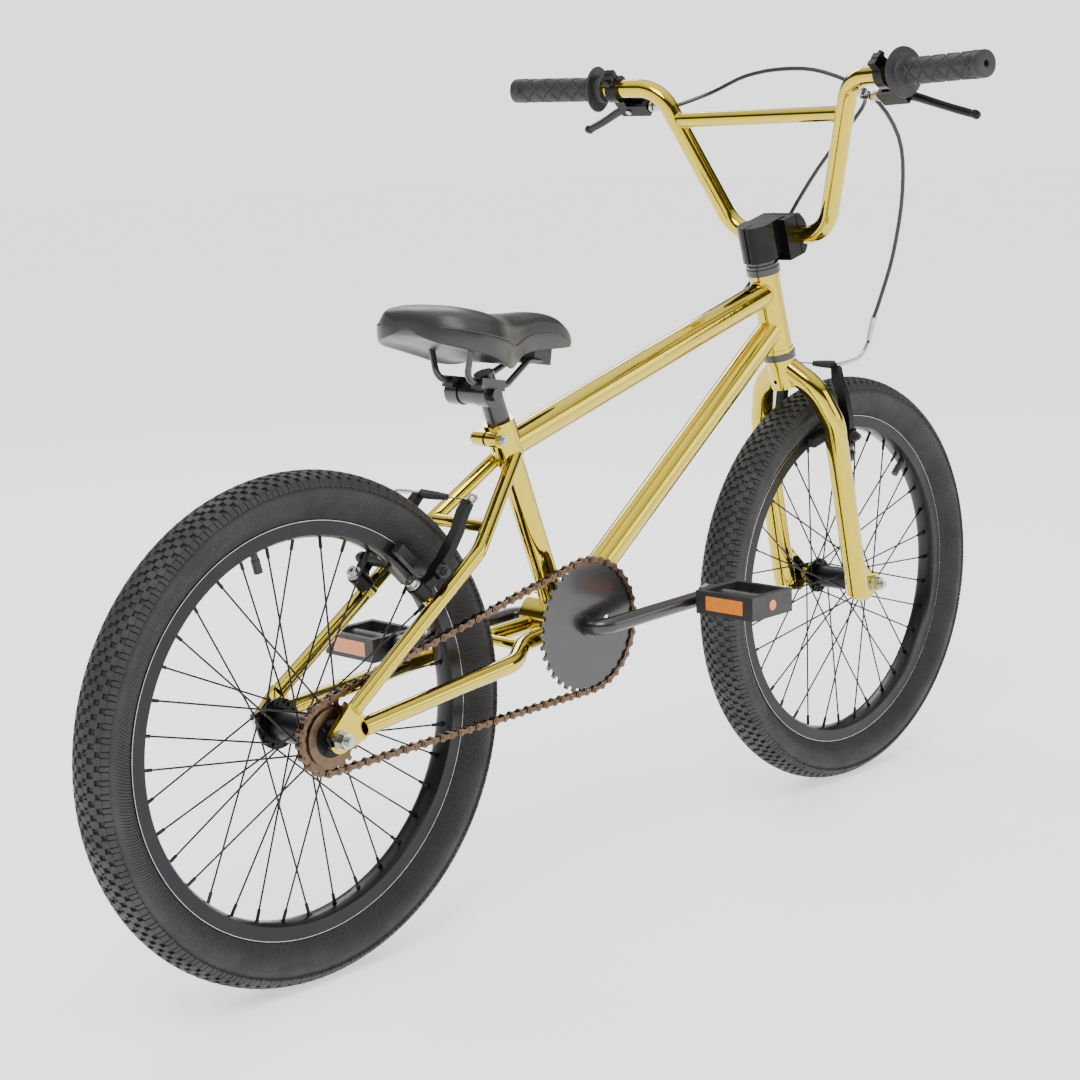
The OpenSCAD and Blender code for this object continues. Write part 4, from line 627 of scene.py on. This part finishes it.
def diamond_grip(s):
    """Grooved sleeve, flange, end cap and three rings of one grip, s being its side."""
    axis, n, m = HAND[s], 96, 150
    e1 = unit(np.cross(axis, (0, 0, 1)))
    e2 = np.cross(axis, e1)
    x = np.linspace(12, 116, m)[:, None]
    a = (np.arange(n) * 2 * np.pi / n)[None, :]
    groove = np.maximum(np.cos(4 * a + x * 0.29), np.cos(4 * a - x * 0.29))
    groove = np.clip((groove - 0.90) / 0.08, 0, 1)
    fade = np.clip((x - 13) / 2, 0, 1) * np.clip((115 - x) / 2, 0, 1)
    r = 14.9 - 1.15 * groove * fade
    out = np.cos(a)[..., None] * e1 + np.sin(a)[..., None] * e2
    spot = GRIP_IN[s] + x[..., None] * axis + r[..., None] * out
    ends = [list(range(n))[::-1], list(range((m - 1) * n, m * n))]
    body = (spot.reshape(-1, 3), grid_faces(m, n) + ends)
    flange = ring_part([(11.1, -9.5), (15.5, -9.5), (16, -8.5), (16, -0.4), (27.0, 0), (27.9, 1.2),
                        (27.6, 2.6), (26.4, 3.4), (17.5, 4.6), (15.6, 7), (15.0, 12.5), (11.1, 12.5)],
                       GRIP_IN[s], axis, 96)
    cap = ring_part([(4, 112), (14.6, 114), (15, 116.5), (15, 121.5), (14.4, 123.6), (12.8, 124.4),
                     (4.2, 124.4), (3.6, 123.6), (3.6, 113)], GRIP_IN[s], axis, 96)
    rings = [ring_part([(14, x0), (15.15, x0 + 0.5), (15.15, x0 + 1.7), (14, x0 + 2.2)],
                       GRIP_IN[s], axis, 96) for x0 in (12.4, 106.5, 110)]
    return [body, flange, cap] + rings

piece("grip left skin", diamond_grip(1), "fork", soft_rubber, ("grip_left",), sharp=40)
piece("grip right skin", diamond_grip(-1), "fork", soft_rubber, ("grip_right",), sharp=40)

# %% [markdown]
# ## Levers
#
# A lever blade is a bar of rounded rectangular section carried along a curve, thicker at the
# pivot, flat and slim in the middle and ending in a ball. Its frame is the lever clamp's own:
# x along the grip, y forward and down, z square to both.

# %% Lever blades, barrel adjusters and pivot pins
LEVER_AT = {s: np.array([267.219, s * 202, 880.863]) for s in (1, -1)}
LEVER_Y = {s: np.array([0.743646, s * 0.166297, -0.647561]) for s in (1, -1)}

def at_lever(s, x, y, z=0.0):
    """A point given in the lever clamp's axes, mirrored for the right hand."""
    zed = np.cross(HAND[s], LEVER_Y[s])
    x, y, z = np.broadcast_arrays(np.asarray(x, float), y, z)
    return LEVER_AT[s] + x[..., None] * HAND[s] + y[..., None] * LEVER_Y[s] + z[..., None] * zed

def rounded_bar(wide, thick, n=20):
    """A rounded rectangle as a superellipse of the fourth power."""
    a = np.arange(n) * 2 * np.pi / n
    c, s = np.cos(a), np.sin(a)
    return np.stack([wide / 2 * np.sign(c) * np.abs(c) ** 0.5,
                     thick / 2 * np.sign(s) * np.abs(s) ** 0.5], 1)

def lever(s):
    """Blade, ball end and pivot boss of one lever, s being its side."""
    line = spline([(-20, 31.5), (-8, 34.5), (4, 37), (18, 44), (34, 54), (50, 63.5), (64, 71), (73, 76)], 6)
    path = at_lever(s, line[:, 0], line[:, 1])
    width = np.interp(np.arange(len(path)), [0, 8, 16, 26, 36, 42], [0.85, 1.25, 1.05, 0.95, 0.95, 0.9])
    blade = sweep(path, rounded_bar(9.5, 7.6), np.cross(HAND[s], LEVER_Y[s]), width)
    z = np.cross(HAND[s], LEVER_Y[s])
    ball = turned([(0.4, -4), (3.4, -3.9), (5.6, -2.6), (6.2, 0), (5.6, 2.6), (3.4, 3.9), (0.4, 4)],
                  at_lever(s, 75, 76.5), z, 32)
    boss = turned([(0.4, -3.9), (5.6, -3.9), (6.0, -3.4), (6.0, 3.4), (5.6, 3.9), (0.4, 3.9)],
                  at_lever(s, -6, 34), z, 32)
    return [blade, ball, boss]

for s, word in ((1, "left"), (-1, "right")):
    piece(f"lever {word} blade", lever(s), f"lever_{word}", black_anodised,
          (f"lever_{word}",), sharp=40)
for s, word in ((1, "left"), (-1, "right")):
    lock = turned([(3.6, 0), (6.7, 0), (7.0, 0.5), (7.0, 3.6), (6.6, 4.2), (3.6, 4.2)],
                  at_lever(s, -35, 33), -HAND[s], 24)
    barrel = turned([(3.4, 6), (5.2, 6.4), (5.7, 8), (5.7, 15), (5.2, 16.5), (4.2, 17.4), (4.2, 20.5),
                     (3.5, 21.5), (2.7, 21.5)], at_lever(s, -34, 33), -HAND[s], 24)
    pin = turned([(0.3, 8.0), (2.9, 8.0), (3.6, 8.4), (3.6, 9.6), (2.6, 10.2), (0.3, 10.2)],
                 at_lever(s, -6, 34), np.cross(HAND[s], LEVER_Y[s]), 24)
    piece(f"barrel adjuster {word}", [lock, barrel, pin], "fork", zinc, sharp=30)

# %% [markdown]
# ## Brake cables at the arms
#
# The wire leaves a bent steel noodle, passes through a ribbed rubber boot and is held by a bolt on
# the other arm.

# %% Noodles, boots, anchor bolts and ferrules
def boot(a, b, ribs=9):
    """A tapered rubber sleeve from a to b whose radius swells at each rib."""
    length = np.linalg.norm(np.subtract(b, a))
    x = np.linspace(0, length, ribs * 6 + 1)
    r = 4.6 - 1.6 * (x / length) ** 2 + 0.55 * np.cos(x / length * ribs * 2 * np.pi)
    return turned(np.stack([r, x], 1), a, unit(np.subtract(b, a)), 32)

REAR_NOODLE, REAR_ANCHOR = np.array([-238.67, 38, 461.86]), np.array([-238.67, -47, 461.86])
FRONT_NOODLE, FRONT_ANCHOR = np.array([389.998, -38, 539.122]), np.array([389.998, 47, 539.122])
rear_bend = spline([(-214, 60, 430), (-230, 73, 436), (-240, 78, 450), (-243, 70, 461), (-241, 56, 463),
                    REAR_NOODLE], 8)[8:]
front_bend = spline([(438, -58, 588), (437, -52, 562), (426, -46, 545), FRONT_NOODLE + (13, -3, 1),
                     FRONT_NOODLE], 8)[8:]
piece("rear noodle", [sweep(rear_bend, circle(2.5, 16), (0, 1, 1))], "frame", zinc, sharp=40)
piece("front noodle", [sweep(front_bend, circle(2.5, 16), (1, 1, 0))], "fork", zinc, sharp=40)
piece("rear boot", [boot(REAR_NOODLE + (0, -4, 0), REAR_NOODLE + (0, -42, 0))],
      "frame", soft_rubber, sharp=60)
piece("front boot", [boot(FRONT_NOODLE + (0, 4, 0), FRONT_NOODLE + (0, 34, 0))],
      "fork", soft_rubber, sharp=60)
piece("front ferrule", [rod((438.2, -60, 594), (437.2, -53.5, 566), 7, 20)], "fork", zinc, sharp=30)
piece("rear ferrule", [rod((-214, 60, 430), (-226, 70.5, 434), 7, 20)], "frame", zinc, sharp=30)

def anchor_bolt(at, out):
    """A flanged bolt against the arm."""
    profile = [(0.4, -1), (6.4, -1), (6.4, 0.2), (4.4, 0.4), (4.4, 5), (3.4, 5.6), (0.4, 5.6)]
    return [turned(profile, at, out, 24)]

for name, body, at, tip, side in (("rear", "rear_arm_right", REAR_ANCHOR, (0.70215, 0, -0.71203), -1),
                                  ("front", "front_arm_left", FRONT_ANCHOR, (-0.99863, 0, -0.05234), 1)):
    spot = at + (0, -side * 3.0, 0)
    piece(f"{name} anchor bolt", anchor_bolt(spot + np.multiply(tip, -2.0), np.multiply(tip, -1.0)),
          body, zinc, sharp=30)

# %% [markdown]
# ## Weld beads
#
# Both ends of the top tube and of the bar's cross tube have a soft ring of weld. A bead is a thin
# ring along the curve in which the smaller tube's surface meets the larger one's. For every angle
# round the small tube, the point is moved along it until it lies on the large tube: the distance
# is the root of a quadratic.

# %% Beads at the tube joints
def bead(a, b, small, c, d, large, size=1.7, n=96):
    """Ring where a tube (axis a to b, diameter small) meets a tube (axis c to d, diameter large):
    solve |(p + t·u) minus its part along v| = large / 2 for t, the root nearer to b."""
    a, b, c, d = (np.asarray(k, float) for k in (a, b, c, d))
    u, v = unit(b - a), unit(d - c)
    e1 = unit(np.cross(u, (0, 1, 0) if abs(u[1]) < 0.9 else (1, 0, 0)))
    e2 = np.cross(u, e1)
    t = np.arange(n)[:, None] * 2 * np.pi / n
    p = a + small / 2 * (np.cos(t) * e1 + np.sin(t) * e2) - c
    p = p - (p @ v)[:, None] * v
    q = u - (u @ v) * v
    k2, k1, k0 = q @ q, p @ q, (p * p).sum(1) - (large / 2) ** 2
    root = np.maximum(k1 ** 2 - k2 * k0, 0)
    s = (-k1 - np.sqrt(root)) / k2
    line = a + small / 2 * (np.cos(t) * e1 + np.sin(t) * e2) + s[:, None] * u
    ahead = unit(np.roll(line, -1, 0) - np.roll(line, 1, 0))
    out = unit(line - (a + ((line - a) @ u)[:, None] * u))
    third = np.cross(ahead, out)
    ring = np.arange(8) * 2 * np.pi / 8
    ripple = size * (1 + 0.10 * np.cos(np.arange(n) * 2 * np.pi * 32 / n))[:, None, None]
    spoke = np.cos(ring)[None, :, None] * out[:, None] + np.sin(ring)[None, :, None] * third[:, None]
    points = line[:, None] + ripple * spoke
    return points.reshape(-1, 3), grid_faces(n, 8, close_rows=True)

HEAD_LOW, HEAD_TOP = (324.68, 0, 560.353), (298.798, 0, 656.946)
CRANK, SEAT_TOP = (-73.386, 0, 299), (-155.836, 0, 531.832)
TOP_FRONT, TOP_REAR = (304.75, 0, 634.729), (-145.488, 0, 502.611)
TOP_TUBE_D, HEAD_TUBE_D, SEAT_TUBE_D, BAR_D, CROSS_D = 31.8, 36, 28.6, 22.2, 18
piece("frame beads", [bead(TOP_REAR, TOP_FRONT, TOP_TUBE_D, HEAD_LOW, HEAD_TOP, HEAD_TUBE_D),
                      bead(TOP_FRONT, TOP_REAR, TOP_TUBE_D, CRANK, SEAT_TOP, SEAT_TUBE_D)],
      "frame", gold_coat, sharp=80)
CROSS_END = {s: np.array([291.037, s * 126.337, 840.089]) for s in (1, -1)}
LEG = {s: np.array([300.0, s * 108, 810.0]) for s in (1, -1)}
piece("bar beads", [bead(CROSS_END[-s], CROSS_END[s], CROSS_D, CROSS_END[s], LEG[s], BAR_D, 1.4, 64)
                    for s in (1, -1)], "fork", gold_coat, sharp=80)

# %% [markdown]
# ## Painted rim highlights and crank
#
# A thin bright zinc ring runs round each rim beside the tyre: a painted highlight that stands for the light
# caught on the rim's edge.
# The crank is one bent bar, whose arms narrow a little from the elbow to the eye that holds the pedal's
# spindle.

# %% Painted rim highlights and crank skin
# each rim gets a thin bright zinc ring, a painted highlight in place of the light on the rim's edge
for word, at, body in (("front", FRONT_HUB, "front_wheel"), ("rear", REAR_HUB, "rear_wheel")):
    painted_highlight_rings = [ring_part([(208.9, s * 12.2), (209.45, s * 12.2), (209.45, s * 12.7), (208.9, s * 12.7)],
                       at, (0, 1, 0), 240) for s in (-1, 1)]
    piece(f"{word} rim line", painted_highlight_rings, body, zinc, sharp=30)

EYE_Y = 90

def crank_arm(pedal, s):
    """One arm from the axle through its elbow to the eye, s being its side."""
    centre, end = np.array(CRANK, float), pedal + np.array([0, s * EYE_Y, 0])
    path = rounded([centre + (0, s * 30, 0), centre + (0, s * 64, 0), end], 20, 14)
    size = np.interp(np.arange(len(path)), [0, 14, len(path) - 1], [1.12, 1.06, 1.0])
    eye = turned([(6.4, -8), (12, -8), (13, -7), (13, 7), (12, 8), (6.4, 8)], end, (0, 1, 0), 40)
    return [sweep(path, circle(8.5, 28, 1.0), (0, 0, 1), size), eye]

RIGHT_PEDAL, LEFT_PEDAL = np.array([78.0356, 0, 312.248]), np.array([-224.808, 0, 285.752])
axle = [rod((CRANK[0], -48, CRANK[2]), (CRANK[0], 48, CRANK[2]), 22, 40)]
piece("crank skin", crank_arm(RIGHT_PEDAL, -1) + crank_arm(LEFT_PEDAL, 1) + axle,
      "crank", black_paint, ("crank",), sharp=50)
